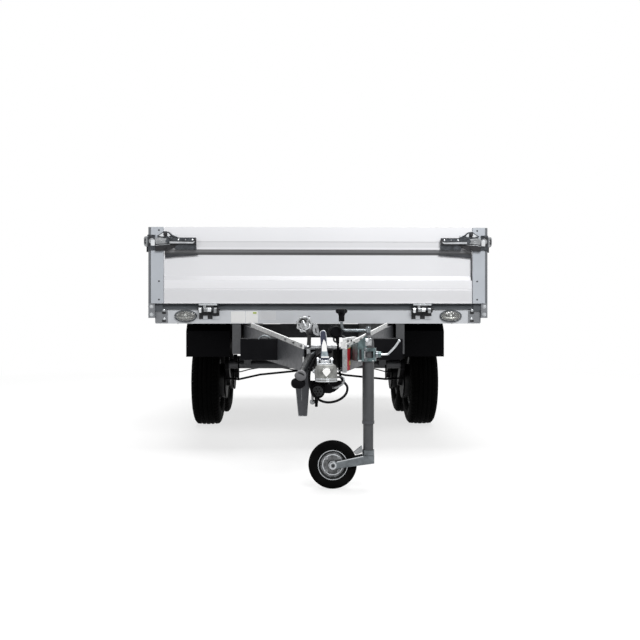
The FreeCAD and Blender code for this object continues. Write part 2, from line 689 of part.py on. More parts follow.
def oval(x, z, width, height, y0, y1):
    ellipse = Part.Ellipse(V(x, z, 0), width / 2, height / 2)
    face = Part.Face(Part.Wire(ellipse.toShape()))
    solid = face.extrude(V(0, 0, y1 - y0))
    solid.rotate(V(0, 0, 0), V(1, 0, 0), 90)
    solid.translate(V(0, y1, 0))
    return solid


def front_lamp():
    x, z = RAIL_OUTER - LAMP_INSET, RAIL_BOTTOM + LAMP_RISE
    base = oval(x, z, LAMP_WIDTH, LAMP_HEIGHT, RAIL_SETBACK - 10, RAIL_SETBACK)
    lens = oval(x, z, LAMP_WIDTH - 14, LAMP_HEIGHT - 12, RAIL_SETBACK - 20, RAIL_SETBACK - 9)
    return join([base, lens])


def rear_bar():
    half = RAIL_INNER - REAR_BAR_INSET
    return box(-half, half, BEAM_REAR, BEAM_REAR + REAR_BAR_DEPTH, REAR_BAR_BOTTOM, REAR_BAR_TOP)


def rear_lamp():
    y = BEAM_REAR + REAR_BAR_DEPTH
    end = RAIL_INNER - REAR_BAR_INSET - 20
    return box(end - REAR_LAMP_WIDTH, end, y, y + REAR_LAMP_DEPTH,
               REAR_BAR_BOTTOM + 12, REAR_BAR_TOP - 12)


# What the drawbar carries

def wheel_chock():
    """Chock in its holder, seated on the outer face of the right arm."""
    y0, y1 = ARM_FRONT + CHOCK_START, ARM_FRONT + CHOCK_START + CHOCK_LENGTH
    low, high = ARM_FRONT_BOTTOM + 29, ARM_FRONT_BOTTOM + 29 + CHOCK_HEIGHT
    depth = CHOCK_WIDTH
    points = [(arm_x(y0), y0, low), (arm_x(y0) + depth, y0 + 40, low),
              (arm_x(y1) + depth - 50, y1 + 40, low), (arm_x(y1), y1, low)]
    return prism(points, (0, 0, high - low))


def jockey_clamp():
    """Bracket on the right arm's face and a windowed clamp with its boss."""
    y0, y1 = JOCKEY_Y + 86, JOCKEY_Y + 156
    middle = (CLAMP_BOTTOM + CLAMP_TOP) / 2
    points = [(arm_x(y0), y0), (arm_x(y1), y1), (JOCKEY_X - 12, JOCKEY_Y + 28),
              (JOCKEY_X - 12, JOCKEY_Y - 28), (JOCKEY_X - 45, JOCKEY_Y - 20)]
    low, high = [prism([(x, y, z) for x, y in points], (0, 0, CLAMP_BAND))
                 for z in (CLAMP_BOTTOM, CLAMP_TOP - CLAMP_BAND)]
    spine = prism([(arm_x(y0), y0, CLAMP_BOTTOM), (arm_x(y0 + 50), y0 + 50, CLAMP_BOTTOM),
                   (arm_x(y0) + 24, y0 + 4, CLAMP_BOTTOM)], (0, 0, CLAMP_HEIGHT))
    ring = rod((JOCKEY_X, JOCKEY_Y, CLAMP_BOTTOM), (JOCKEY_X, JOCKEY_Y, CLAMP_TOP), CLAMP_R)
    window = box(JOCKEY_X - 24, JOCKEY_X + 18, JOCKEY_Y - 60, JOCKEY_Y + 60,
                 CLAMP_BOTTOM + CLAMP_BAND, CLAMP_TOP - CLAMP_BAND)
    bar_left = box(JOCKEY_X - 30, JOCKEY_X - 20, JOCKEY_Y - CLAMP_R, JOCKEY_Y + 28,
                   CLAMP_BOTTOM, CLAMP_TOP)
    boss = rod((JOCKEY_X + 26, JOCKEY_Y, middle), (JOCKEY_X + 52, JOCKEY_Y, middle), 12)
    hole = rod((JOCKEY_X, JOCKEY_Y, CLAMP_BOTTOM - 50), (JOCKEY_X, JOCKEY_Y, CLAMP_TOP + 100),
               OUTER_TUBE_R)
    body = join([ring.cut(window), low, high, spine, bar_left, boss])
    return body.cut(hole)


def clamp_handle():
    """Bent handle that turns the clamp's screw."""
    x = JOCKEY_X + 52
    z = (CLAMP_BOTTOM + CLAMP_TOP) / 2
    return bar([(x, JOCKEY_Y, z), (x + 30, JOCKEY_Y, z), (x + 57, JOCKEY_Y, z + 28),
                (x + 76, JOCKEY_Y, z + 56)], 6)


def jockey_outer_tube():
    """Outer tube with a domed cap and the spindle's hub."""
    bore = INNER_TUBE_R + TUBE_PLAY
    tube = turned([(bore, OUTER_TUBE_BOTTOM), (OUTER_TUBE_R, OUTER_TUBE_BOTTOM),
                   (OUTER_TUBE_R, OUTER_TUBE_TOP), (OUTER_TUBE_R - 5, OUTER_TUBE_TOP + 26),
                   (10, OUTER_TUBE_TOP + 34), (10, OUTER_TUBE_TOP + CAP_HEIGHT),
                   (0, OUTER_TUBE_TOP + CAP_HEIGHT), (0, OUTER_TUBE_TOP - 10),
                   (bore, OUTER_TUBE_TOP - 10)], (JOCKEY_X, JOCKEY_Y, 0), (0, 0, 1))
    return tube


def jockey_crank():
    base = OUTER_TUBE_TOP + CAP_HEIGHT
    z = base + 10
    hub = rod((JOCKEY_X, JOCKEY_Y, base), (JOCKEY_X, JOCKEY_Y, base + 26), 10)
    arm = bar([(JOCKEY_X, JOCKEY_Y, z), (JOCKEY_X - CRANK_REACH + 10, JOCKEY_Y, z),
               (JOCKEY_X - CRANK_REACH, JOCKEY_Y, z + CRANK_RISE)], 6)
    return join([hub, arm])


def crank_knob():
    x = JOCKEY_X - CRANK_REACH
    z = OUTER_TUBE_TOP + CAP_HEIGHT + 10 + CRANK_RISE
    stem = rod((x, JOCKEY_Y, z), (x, JOCKEY_Y, z + 32), 12)
    lobes = [rod((x + 15 * math.cos(a), JOCKEY_Y + 15 * math.sin(a), z + 31),
                 (x + 15 * math.cos(a), JOCKEY_Y + 15 * math.sin(a), z + 55), 12)
             for a in (math.radians(30 + 120 * i) for i in range(3))]
    core = rod((x, JOCKEY_Y, z + 31), (x, JOCKEY_Y, z + 55), 16)
    return join([stem, core] + lobes).cut(jockey_crank())


def jockey_inner_tube():
    """Inner tube that slides in the outer one, with a floor at the bottom."""
    inner = INNER_TUBE_R - INNER_TUBE_WALL
    bottom = CROWN_TOP + 0.6
    return turned([(0, bottom), (INNER_TUBE_R, bottom), (INNER_TUBE_R, INNER_TUBE_TOP),
                   (inner, INNER_TUBE_TOP),
                   (inner, bottom + 8), (0, bottom + 8)], (JOCKEY_X, JOCKEY_Y, 0), (0, 0, 1))


def jockey_fork():
    """Crown under the tube and two plates that trail back to the axle."""
    hub_x = JOCKEY_X - JOCKEY_TRAIL
    z = JOCKEY_WHEEL_R
    crown = join([rod((JOCKEY_X, JOCKEY_Y, CROWN_BOTTOM), (JOCKEY_X, JOCKEY_Y, CROWN_TOP), 25),
                  box(JOCKEY_X - 22, JOCKEY_X + 22, JOCKEY_Y - FORK_GAP - FORK_WALL,
                      JOCKEY_Y + FORK_GAP + FORK_WALL, CROWN_BOTTOM, CROWN_BOTTOM + 10)])
    sides = []
    for y in (JOCKEY_Y - FORK_GAP - FORK_WALL, JOCKEY_Y + FORK_GAP):
        outline = [(hub_x - 14, y, z - 10), (hub_x - 14, y, z + 10), (JOCKEY_X - 22, y, z + 38),
                   (JOCKEY_X + 22, y, z + 38), (JOCKEY_X + 22, y, z + 8), (hub_x, y, z - 14)]
        sides.append(prism(outline, (0, FORK_WALL, 0)))
    axle = rod((hub_x, JOCKEY_Y - FORK_GAP - FORK_WALL - 8, z),
               (hub_x, JOCKEY_Y + FORK_GAP + FORK_WALL + 8, z), 8)
    return join([crown, axle] + sides)


def jockey_tyre():
    half = JOCKEY_TYRE_WIDTH / 2
    r = JOCKEY_WHEEL_R
    profile = [(JOCKEY_RIM_R, -16), (JOCKEY_RIM_R + 8, -half), (r - 12, -half),
               (r - 3, -half + 7), (r, -5), (r, 5), (r - 3, half - 7), (r - 12, half),
               (JOCKEY_RIM_R + 8, half), (JOCKEY_RIM_R, 16)]
    return turned(profile, (JOCKEY_X - JOCKEY_TRAIL, JOCKEY_Y, JOCKEY_WHEEL_R), (0, 1, 0))


def jockey_rim():
    r = JOCKEY_RIM_R
    profile = [(8.08, -24), (18, -24), (18, -8), (r - 8, -6), (r - 4, -16), (r, -16), (r, 16),
               (r - 4, 16), (r - 8, 6), (18, 8), (18, 24), (8.08, 24)]
    return turned(profile, (JOCKEY_X - JOCKEY_TRAIL, JOCKEY_Y, JOCKEY_WHEEL_R), (0, 1, 0))


def cast_cap():
    """Round cast cap with notches, on a stalk at the left arm's front end."""
    x, y, z = 5 - ARM_FRONT_X, ARM_FRONT + 25, ARM_FRONT_TOP + 95
    stalk = rod((x + 8, y, ARM_FRONT_TOP - 2), (x + 8, y, z), 10)
    sleeve = rod((x + 8, y, ARM_FRONT_TOP - 2), (x + 8, y, ARM_FRONT_TOP + 26), 15)
    head = turned([(0, -26), (22, -26), (22, -20), (32, -14), (33, 6), (26, 12), (26, 30), (0, 30)],
                  (x, y, z), (0, 1, 0))
    notches = [rod((x + 33 * math.cos(a), y - 27, z + 33 * math.sin(a)),
                   (x + 33 * math.cos(a), y + 2, z + 33 * math.sin(a)), 6.5)
               for a in (math.radians(22 + 45 * i) for i in range(8))]
    flange = prism([(x + 18, y + 18, z + 24), (x + 48, y + 18, z + 6), (x + 58, y + 18, z - 22),
                    (x + 56, y + 18, z - 52), (x + 30, y + 18, z - 54), (x + 16, y + 18, z - 28)],
                   (0, 8, 0))
    body = join([stalk, sleeve, head, flange])
    for notch in notches:
        body = body.cut(notch)
    return body.cut(flipped(drawbar_arm()))


def park_bracket():
    """Plate and bent rod from the right arm that hold the parked plug."""
    x, y, z = PLUG_PLACE
    back = turned([(0, 0), (30, 0), (30, 5), (0, 5)], (x, y, z), (0, 1, 0))
    foot_y = ARM_FRONT + 62
    foot = bar([(arm_x(foot_y) - 18, foot_y, ARM_FRONT_TOP), (arm_x(foot_y) - 22, foot_y, z - 26),
                (x + 20, y + 3, z - 18)], 5)
    pad = box(arm_x(foot_y) - 26, arm_x(foot_y) - 10, foot_y - 9, foot_y + 9,
              ARM_FRONT_TOP - 1, ARM_FRONT_TOP + 10)
    return join([back, foot, pad]).cut(drawbar_arm()).cut(plug())


def plug():
    """Round plug, face to the front, with its tail turned down."""
    x, y, z = PLUG_PLACE
    r = PLUG_R
    body = turned([(0, -44), (r - 4, -44), (r, -40), (r, -12), (r - 4, -8), (r - 4, 0), (0, 0)],
                  (x, y, z), (0, 1, 0))
    end, before = V(*CABLE_ROUTE[-1]), V(*CABLE_ROUTE[-2])
    up = (end - before).normalize()
    tail = Part.makeCylinder(CABLE_R + 4, 30, end, up)
    return join([body, tail])


def park_socket():
    """Empty parking socket on a bent rod under the housing."""
    x, y, z = -30.0, ARM_FRONT - SOCKET_AHEAD, ARM_FRONT_BOTTOM - SOCKET_DROP
    body = turned([(0, 4), (22, 4), (22, 0), (29, 0), (29, 14), (24, 20), (24, 36), (14, 42), (0, 42)],
                  (x, y, z), (0, 1, 0))
    holder = bar([(x, y + 38, z), (x, y + 70, z + 26), (x, HOUSING_FRONT + 26, SHAFT_HEIGHT - 20)], 6)
    return join([body, holder]).cut(overrun_housing())


def cable_gland():
    """Gland on the housing's front face, where the cable leaves."""
    start, after = V(*CABLE_ROUTE[0]), V(*CABLE_ROUTE[1])
    back = (start - after).normalize()
    return Part.makeCylinder(CABLE_R + 3.5, 14, start, back).cut(overrun_housing())


def rounded_route(points):
    """Edges of a path: straight runs joined by the largest tangent arcs."""
    points = [V(*p) for p in points]
    edges, start, radii = [], points[0], []
    for before, corner, after in zip(points, points[1:], points[2:]):
        u = (corner - before).normalize()
        w = (after - corner).normalize()
        half = u.getAngle(w) / 2
        reach = 0.45 * min((corner - before).Length, (after - corner).Length)
        radius = reach / math.tan(half)
        radii.append(round(radius, 1))
        first, last = corner - u * reach, corner + w * reach
        middle = corner + (w - u).normalize() * (radius / math.cos(half) - radius)
        edges.append(Part.LineSegment(start, first).toShape())
        edges.append(Part.Arc(first, middle, last).toShape())
        start = last
    edges.append(Part.LineSegment(start, points[-1]).toShape())
    return edges, radii


def connecting_cable():
    """Electric cable from the gland, round below the coupling, to the plug."""
    edges, radii = rounded_route(CABLE_ROUTE)
    path = Part.Wire(edges)
    start = V(*CABLE_ROUTE[0])
    along = (V(*CABLE_ROUTE[1]) - start).normalize()
    circle = Part.Wire(Part.Edge(Part.Circle(start, along, CABLE_R)))
    tube = path.makePipeShell([circle], True, True)
    section = math.pi * CABLE_R ** 2
    print("cable radii", radii, "length", round(path.Length), "volume ratio",
          round(tube.Volume / (section * path.Length), 4))
    return tube


def support_bracket():
    """Tapered folded channel that hangs under the left arm's front end."""
    y = ARM_FRONT + 8
    high, low = ARM_FRONT_BOTTOM, ARM_FRONT_BOTTOM - SUPPORT_DROP
    elbow = high - 62
    x = -ARM_FRONT_X
    front = prism([(x - 18, y, low), (x + 18, y, low), (x + 32, y, high), (x + 2, y, high),
                   (x - 30, y, elbow)], (0, 4, 0))
    left = prism([(x - 18, y, low), (x - 18, y + 36, low), (x - 30, y + 40, elbow),
                  (x - 30, y, elbow)], (4, 0, 0))
    return join([front, left])


def brake_lines():
    """Brake rod to the equaliser, a cable to each back plate and two hangers."""
    start = (0, HOUSING_REAR, SHAFT_HEIGHT)
    front_y, rear_y = axle_places()
    tube_y = front_y - ARM_TRAIL
    equaliser_y = tube_y - EQUALISER_AHEAD
    height = AXLE_TUBE_Z - EQUALISER_DROP
    low = WHEEL_R + 20
    reach = AXLE_HALF + 26
    pieces = [bar([start, (0, HOUSING_REAR + 60, SHAFT_HEIGHT - 20), (0, equaliser_y, height)],
                  BRAKE_ROD_R),
              box(-60, 60, equaliser_y - 8, equaliser_y + 8, height - 10, height + 10)]
    hanger_y = tube_y - AXLE_TUBE_R
    hung = [(-497, [(-354, tube_y - 100, low + 36)]), (462, [(190, tube_y - 135, low + 34)])]
    for x, middle in hung:
        side = 1 if x > 0 else -1
        pieces.append(bar([(side * 50, equaliser_y, height)] + middle
                          + [(x, hanger_y + 4, low), (side * (AXLE_HALF - 20), front_y - 95, low),
                             (side * reach, front_y - 95, low)], FRONT_CABLE_R))
        pieces.append(rod((x, hanger_y, low - 3), (x, hanger_y, AXLE_TUBE_Z + 57), HANGER_R))
    for side in (-1, 1):
        pieces.append(bar([(side * 50, equaliser_y, height), (side * 120, tube_y, height - 14),
                           (side * 300, tube_y + 440, height - 8),
                           (side * 470, rear_y - 110, low + 19),
                           (side * (AXLE_HALF - 20), rear_y - 95, low),
                           (side * reach, rear_y - 95, low)], BRAKE_CABLE_R))
    return [join(pieces).cut(overrun_housing()).cut(axle_beam(front_y))]


def main():
    os.makedirs("parts", exist_ok=True)
    save("end_rails", [front_rail(), ahead_to_tail(front_rail())])
    save("side_rails", both(side_rail()))
    save("load_floor", [load_floor()])
    save("cross_members", [cross_member(y) for y in member_places()])
    save("main_beams", both(main_beam()))
    save("corner_posts", corners(corner_post()))
    save("corner_brackets", corners(corner_bracket()))
    save("bed_seals", bed_seals())
    save("post_catches", corners(post_catch()))

    sides = [side_turned(rail_hinge(), y) for y in side_hinge_places()]
    ends = end_hinges(rail_hinge())
    save("rail_hinges", ends + [ahead_to_tail(s) for s in ends]
         + sides + [flipped(s) for s in sides])

    front = end_hinges(board_hinge()) + both(end_latch())
    right = [side_turned(board_hinge(), y) for y in side_hinge_places()]
    right += [side_latch_front(), ahead_to_tail(side_latch_front())]
    save("front_board", [front_board()])
    save("front_fittings", front)
    save("tail_board", [ahead_to_tail(front_board())])
    save("tail_fittings", [ahead_to_tail(s) for s in front])
    save("right_board", [right_board()])
    save("right_fittings", right)
    save("left_board", [flipped(right_board())])
    save("left_fittings", [flipped(s) for s in right])

    save("drawbar_arms", both(drawbar_arm()))
    save("overrun_housing", [overrun_housing()])
    save("cross_plate", cross_plate())
    save("coupling_bellows", [coupling_bellows()])
    save("coupling_head", [coupling_head()])
    save("coupling_handle", [coupling_handle()])
    save("handbrake_lever", handbrake_lever())
    save("cast_cap", [cast_cap()])
    save("park_bracket", [park_bracket()])
    save("park_socket", [park_socket()])
    save("plug", [plug()])
    save("cable_gland", [cable_gland()])
    save("connecting_cable", [connecting_cable()])
    save("support_bracket", [support_bracket()])
    save("wheel_chocks", both(wheel_chock()))

    axles = axle_places()
    save("axle_beams", [axle_beam(y) for y in axles])
    save("swing_arms", both(swing_arm(axles[0])) + both(swing_arm(axles[1])))
    save("brake_lines", brake_lines())
    save("mudguards", both(mudguard()))
    for place, y in zip(("front", "rear"), axles):
        save(place + "_right_tyre", [tyre(y)])
        save(place + "_left_tyre", [flipped(tyre(y))])
        save(place + "_right_rim", [rim(y)])
        save(place + "_left_rim", [flipped(rim(y))])

    save("front_lamps", both(front_lamp()))
    save("rear_bar", [rear_bar()])
    save("rear_lamps", both(rear_lamp()))

    save("jockey_clamp", [jockey_clamp()])
    save("clamp_handle", [clamp_handle()])
    save("jockey_outer_tube", [jockey_outer_tube()])
    save("jockey_crank", [jockey_crank()])
    save("crank_knob", [crank_knob()])
    save("jockey_inner_tube", [jockey_inner_tube()])
    save("jockey_fork", [jockey_fork()])
    save("jockey_tyre", [jockey_tyre()])
    save("jockey_rim", [jockey_rim()])


main()
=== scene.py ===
import math

import bmesh
import bpy
import numpy as np
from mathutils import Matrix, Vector


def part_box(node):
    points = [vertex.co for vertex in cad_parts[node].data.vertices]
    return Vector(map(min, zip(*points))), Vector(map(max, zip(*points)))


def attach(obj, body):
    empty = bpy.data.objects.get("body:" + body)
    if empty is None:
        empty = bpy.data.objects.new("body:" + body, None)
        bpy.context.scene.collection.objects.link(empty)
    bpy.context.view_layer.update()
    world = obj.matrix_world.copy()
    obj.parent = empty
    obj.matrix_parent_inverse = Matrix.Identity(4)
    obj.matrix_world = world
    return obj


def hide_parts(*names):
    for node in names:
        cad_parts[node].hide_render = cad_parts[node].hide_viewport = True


bl_info = {
    "name": "Drop-side trailer",
    "version": (1, 0, 0),
    "blender": (4, 5, 0),
    "location": "3D View > Sidebar > Trailer",
    "description": "Finishes and fine pieces of a tandem-axle drop-side trailer",
    "category": "Object",
}

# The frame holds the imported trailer. Distances written "from the face" are
# counted along +Y from the front board's outer face.
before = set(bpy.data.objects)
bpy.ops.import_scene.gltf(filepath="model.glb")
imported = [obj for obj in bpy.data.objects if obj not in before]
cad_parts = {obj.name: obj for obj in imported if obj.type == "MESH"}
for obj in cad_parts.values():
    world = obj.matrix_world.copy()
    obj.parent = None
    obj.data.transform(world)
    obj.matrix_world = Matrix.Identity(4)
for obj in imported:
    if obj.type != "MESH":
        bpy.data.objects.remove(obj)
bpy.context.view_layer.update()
SIDE_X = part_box("right_board")[1].x
FACE_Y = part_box("front_board")[0].y
TAIL_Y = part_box("tail_board")[1].y
MM = 0.001

# How far in from a board's outer face its bands of painted shade and painted light reach, in metres; the
# distance within which points are welded; and the angle of a sharp edge
PANEL_SKIN = 0.0105
WELD = 1e-6
SHARP_ANGLE = math.radians(38)


# Finishes

def node_tree(name):
    """A new material with its shader, and the Object coordinates that patterns follow."""
    material = bpy.data.materials.new(name)
    material.use_nodes = True
    tree = material.node_tree
    shader = tree.nodes["Principled BSDF"]
    place = tree.nodes.new("ShaderNodeTexCoord")
    return material, tree, shader, place.outputs["Object"]


def stretched(tree, place, scale):
    """The coordinates scaled by a different factor along each axis."""
    mapping = tree.nodes.new("ShaderNodeMapping")
    mapping.inputs["Scale"].default_value = scale
    tree.links.new(place, mapping.inputs["Vector"])
    return mapping.outputs["Vector"]


def computed(tree, operation, value, other=None):
    """A sum on a value, and on another that is a node's or a plain number."""
    node = tree.nodes.new("ShaderNodeMath")
    node.operation = operation
    tree.links.new(value, node.inputs[0])
    if isinstance(other, float):
        node.inputs[1].default_value = other
    elif other is not None:
        tree.links.new(other, node.inputs[1])
    return node.outputs[0]


def blended(tree, factor, first, second):
    """A colour between two, each of them fixed or a node's."""
    node = tree.nodes.new("ShaderNodeMix")
    node.data_type = "RGBA"
    tree.links.new(factor, node.inputs["Factor"])
    for slot, colour in ((6, first), (7, second)):
        if isinstance(colour, tuple):
            node.inputs[slot].default_value = (*colour, 1)
        else:
            tree.links.new(colour, node.inputs[slot])
    return node.outputs[2]


def noise(tree, place, scale, detail=3.0, roughness=0.5):
    """Soft noise at that many waves a metre."""
    texture = tree.nodes.new("ShaderNodeTexNoise")
    texture.inputs["Scale"].default_value = scale
    texture.inputs["Detail"].default_value = detail
    texture.inputs["Roughness"].default_value = roughness
    tree.links.new(place, texture.inputs["Vector"])
    return texture.outputs["Fac"]


def ramp(tree, value, low, high, start=0.3, end=0.7):
    """A colour between low and high as the value goes from start to end."""
    node = tree.nodes.new("ShaderNodeValToRGB")
    node.color_ramp.elements[0].position = start
    node.color_ramp.elements[1].position = end
    node.color_ramp.elements[0].color = (*low, 1)
    node.color_ramp.elements[1].color = (*high, 1)
    tree.links.new(value, node.inputs["Fac"])
    return node.outputs["Color"]


def spread(tree, value, low, high, start=0.3, end=0.7):
    """The value, moved from the range start to end into low to high."""
    node = tree.nodes.new("ShaderNodeMapRange")
    for name, number in (("From Min", start), ("From Max", end), ("To Min", low), ("To Max", high)):
        node.inputs[name].default_value = number
    tree.links.new(value, node.inputs["Value"])
    return node.outputs["Result"]


def bump(tree, shader, value, distance, strength=1.0):
    """Relief of that depth in metres on the shader's surface."""
    node = tree.nodes.new("ShaderNodeBump")
    node.inputs["Distance"].default_value = distance
    node.inputs["Strength"].default_value = strength
    tree.links.new(value, node.inputs["Height"])
    tree.links.new(node.outputs["Normal"], shader.inputs["Normal"])


def shade(colour, factor):
    """The colour times a factor, at most 1."""
    return tuple(min(1.0, c * factor) for c in colour)


def painted_side_shade(tree, colours, limit, width, factor, beyond):
    """Painted shade: colours times a factor where the distance from the trailer's middle plane is
    beyond the limit, or within it."""
    place = tree.nodes.new("ShaderNodeTexCoord")
    split = tree.nodes.new("ShaderNodeSeparateXYZ")
    tree.links.new(place.outputs["Object"], split.inputs[0])
    size = computed(tree, "ABSOLUTE", split.outputs["X"])
    low, high = (1.0, factor) if beyond else (factor, 1.0)
    tone = spread(tree, size, low, high, limit - width, limit + width)
    scaled = tree.nodes.new("ShaderNodeVectorMath")
    scaled.operation = "SCALE"
    tree.links.new(colours, scaled.inputs[0])
    tree.links.new(tone, scaled.inputs["Scale"])
    return scaled.outputs[0]


def side_shaded(material, limit, width, factor, beyond):
    """The material with painted shade put on its colour through painted_side_shade."""
    tree = material.node_tree
    shader = tree.nodes["Principled BSDF"]
    colours = shader.inputs["Base Color"].links[0].from_socket
    tree.links.new(painted_side_shade(tree, colours, limit, width, factor, beyond),
                   shader.inputs["Base Color"])
    return material


def metal(name, colour, metallic, roughness, patch=12.0, contrast=0.08, grain=900.0,
          grain_depth=0.00002, stretch=(1, 1, 1)):
    """Metal with soft patches of tone, uneven gloss and a fine grain."""
    material, tree, shader, place = node_tree(name)
    patches = noise(tree, place, patch, 4.0, 0.6)
    colours = ramp(tree, patches, shade(colour, 1 - contrast), shade(colour, 1 + contrast))
    tree.links.new(colours, shader.inputs["Base Color"])
    tree.links.new(spread(tree, patches, roughness * 0.85, roughness * 1.2), shader.inputs["Roughness"])
    shader.inputs["Metallic"].default_value = metallic
    fine = noise(tree, stretched(tree, place, stretch), grain, 2.0)
    bump(tree, shader, fine, grain_depth)
    return material


# Painted shade and painted light on the boards' outer faces: the near-black band at 1.041-1.066 m is
# painted shade on the downward-facing slope, the dimmer bands lower down and the thin dark lines are
# painted shade, the bands above 1 are painted light.
BOARD_PAINTED_SHADE_BANDS = ((0.783, 0.96), (0.791, 0.96), (0.794, 0.885), (0.852, 0.885),
               (0.8545, 0.75), (0.859, 0.79), (0.862, 1.02),
               (0.905, 1.05), (0.908, 0.79), (0.926, 0.83), (0.930, 0.98), (1.037, 0.97),
               (1.041, 0.10), (1.051, 0.10), (1.054, 0.24), (1.066, 0.22), (1.070, 0.98),
               (1.077, 0.98), (1.081, 0.87), (1.106, 0.89), (1.111, 0.99), (1.186, 1.03))


def board_aluminium(name, colour):
    """Satin extrusion, fine lines along it, and painted light and shade in bands across its outer
    face: BOARD_PAINTED_SHADE_BANDS holds pairs of height in metres and brightness."""
    material, tree, shader, place = node_tree(name)
    split = tree.nodes.new("ShaderNodeSeparateXYZ")
    tree.links.new(place, split.inputs["Vector"])
    low, high = BOARD_PAINTED_SHADE_BANDS[0][0], BOARD_PAINTED_SHADE_BANDS[-1][0]
    height = spread(tree, split.outputs["Z"], 0.0, 1.0, low, high)
    bands = ramp(tree, height, shade(colour, BOARD_PAINTED_SHADE_BANDS[0][1]), shade(colour, BOARD_PAINTED_SHADE_BANDS[-1][1]),
                 0.0, 1.0)
    stops = bands.node.color_ramp.elements
    for z, tone in BOARD_PAINTED_SHADE_BANDS[1:-1]:
        stop = stops.new((z - low) / (high - low))
        stop.color = (*shade(colour, tone), 1)
    middle = (FACE_Y + TAIL_Y) / 2
    outer = []
    for axis, centre, reach in (("X", 0.0, SIDE_X), ("Y", middle, TAIL_Y - middle)):
        far = computed(tree, "ABSOLUTE", computed(tree, "SUBTRACT", split.outputs[axis], centre))
        outer.append(computed(tree, "GREATER_THAN", far, reach - PANEL_SKIN))
    colours = blended(tree, computed(tree, "MAXIMUM", *outer), shade(colour, 0.9), bands)
    tree.links.new(colours, shader.inputs["Base Color"])
    patches = noise(tree, place, 2.0, 4.0, 0.6)
    tree.links.new(spread(tree, patches, 0.38, 0.48), shader.inputs["Roughness"])
    shader.inputs["Metallic"].default_value = 0.12
    bump(tree, shader, noise(tree, stretched(tree, place, (1, 1, 30)), 700.0, 2.0), 0.000006)
    return material


def galvanised(name, colour, roughness=0.42, shine=0.5):
    """Hot-dip zinc: crystal spangle in slightly different greys, with dull patches."""
    material, tree, shader, place = node_tree(name)
    cells = tree.nodes.new("ShaderNodeTexVoronoi")
    cells.inputs["Scale"].default_value = 75.0
    warped = tree.nodes.new("ShaderNodeVectorMath")
    warped.operation = "ADD"
    wobble = tree.nodes.new("ShaderNodeTexNoise")
    wobble.inputs["Scale"].default_value = 40.0
    scaled = tree.nodes.new("ShaderNodeVectorMath")
    scaled.operation = "SCALE"
    scaled.inputs["Scale"].default_value = 0.02
    tree.links.new(place, wobble.inputs["Vector"])
    tree.links.new(wobble.outputs["Color"], scaled.inputs[0])
    tree.links.new(place, warped.inputs[0])
    tree.links.new(scaled.outputs["Vector"], warped.inputs[1])
    tree.links.new(warped.outputs["Vector"], cells.inputs["Vector"])
    tone = tree.nodes.new("ShaderNodeSeparateColor")
    tree.links.new(cells.outputs["Color"], tone.inputs["Color"])
    flakes = ramp(tree, tone.outputs["Red"], shade(colour, 0.93), shade(colour, 1.07), 0.0, 1.0)
    dull = noise(tree, place, 5.0, 5.0, 0.6)
    share = spread(tree, dull, 0.0, 0.6, 0.35, 0.75)
    tree.links.new(blended(tree, share, flakes, shade(colour, 0.82)), shader.inputs["Base Color"])
    tree.links.new(spread(tree, tone.outputs["Green"], roughness - 0.06, roughness + 0.08, 0, 1),
                   shader.inputs["Roughness"])
    shader.inputs["Metallic"].default_value = 0.55
    shader.inputs["Specular IOR Level"].default_value = shine
    bump(tree, shader, noise(tree, place, 260.0, 3.0), 0.00004)
    return material


def soft_black(name, colour, roughness, grain=1400.0, depth=0.00003, dust=0.25, shine=0.05):
    """Rubber or moulded plastic: fine grain and a thin grey dust in patches."""
    material, tree, shader, place = node_tree(name)
    patches = noise(tree, place, 9.0, 5.0, 0.65)
    dusty = shade([c + 0.004 for c in colour], 1 + dust)
    colours = ramp(tree, patches, colour, dusty, 0.45, 0.8)
    tree.links.new(colours, shader.inputs["Base Color"])
    tree.links.new(spread(tree, patches, roughness - 0.06, roughness + 0.12), shader.inputs["Roughness"])
    shader.inputs["Specular IOR Level"].default_value = shine
    bump(tree, shader, noise(tree, place, grain, 2.0), depth)
    return material


def plywood(name):
    """Film-faced plywood: dark brown film pressed with a small mesh pattern."""
    material, tree, shader, place = node_tree(name)
    wear = noise(tree, place, 3.0, 6.0, 0.65)
    tree.links.new(ramp(tree, wear, (0.03, 0.017, 0.011), (0.06, 0.036, 0.024)),
                   shader.inputs["Base Color"])
    tree.links.new(spread(tree, wear, 0.42, 0.6), shader.inputs["Roughness"])
    mesh = tree.nodes.new("ShaderNodeTexVoronoi")
    mesh.feature = "DISTANCE_TO_EDGE"
    mesh.inputs["Scale"].default_value = 260.0
    mesh.inputs["Randomness"].default_value = 0.0
    tree.links.new(place, mesh.inputs["Vector"])
    bump(tree, shader, mesh.outputs["Distance"], 0.0008, 0.6)
    return material


def clear_lens(name, colour, transmission, shine=0.5):
    """Clear or tinted plastic with faint upright streaks."""
    material, tree, shader, place = node_tree(name)
    streaks = noise(tree, stretched(tree, place, (1, 1, 6)), 160.0, 1.0)
    tree.links.new(ramp(tree, streaks, shade(colour, 0.94), colour), shader.inputs["Base Color"])
    shader.inputs["Roughness"].default_value = 0.08
    shader.inputs["Transmission Weight"].default_value = transmission
    shader.inputs["IOR"].default_value = 1.49
    shader.inputs["Specular IOR Level"].default_value = shine
    bump(tree, shader, streaks, 0.00004)
    return material


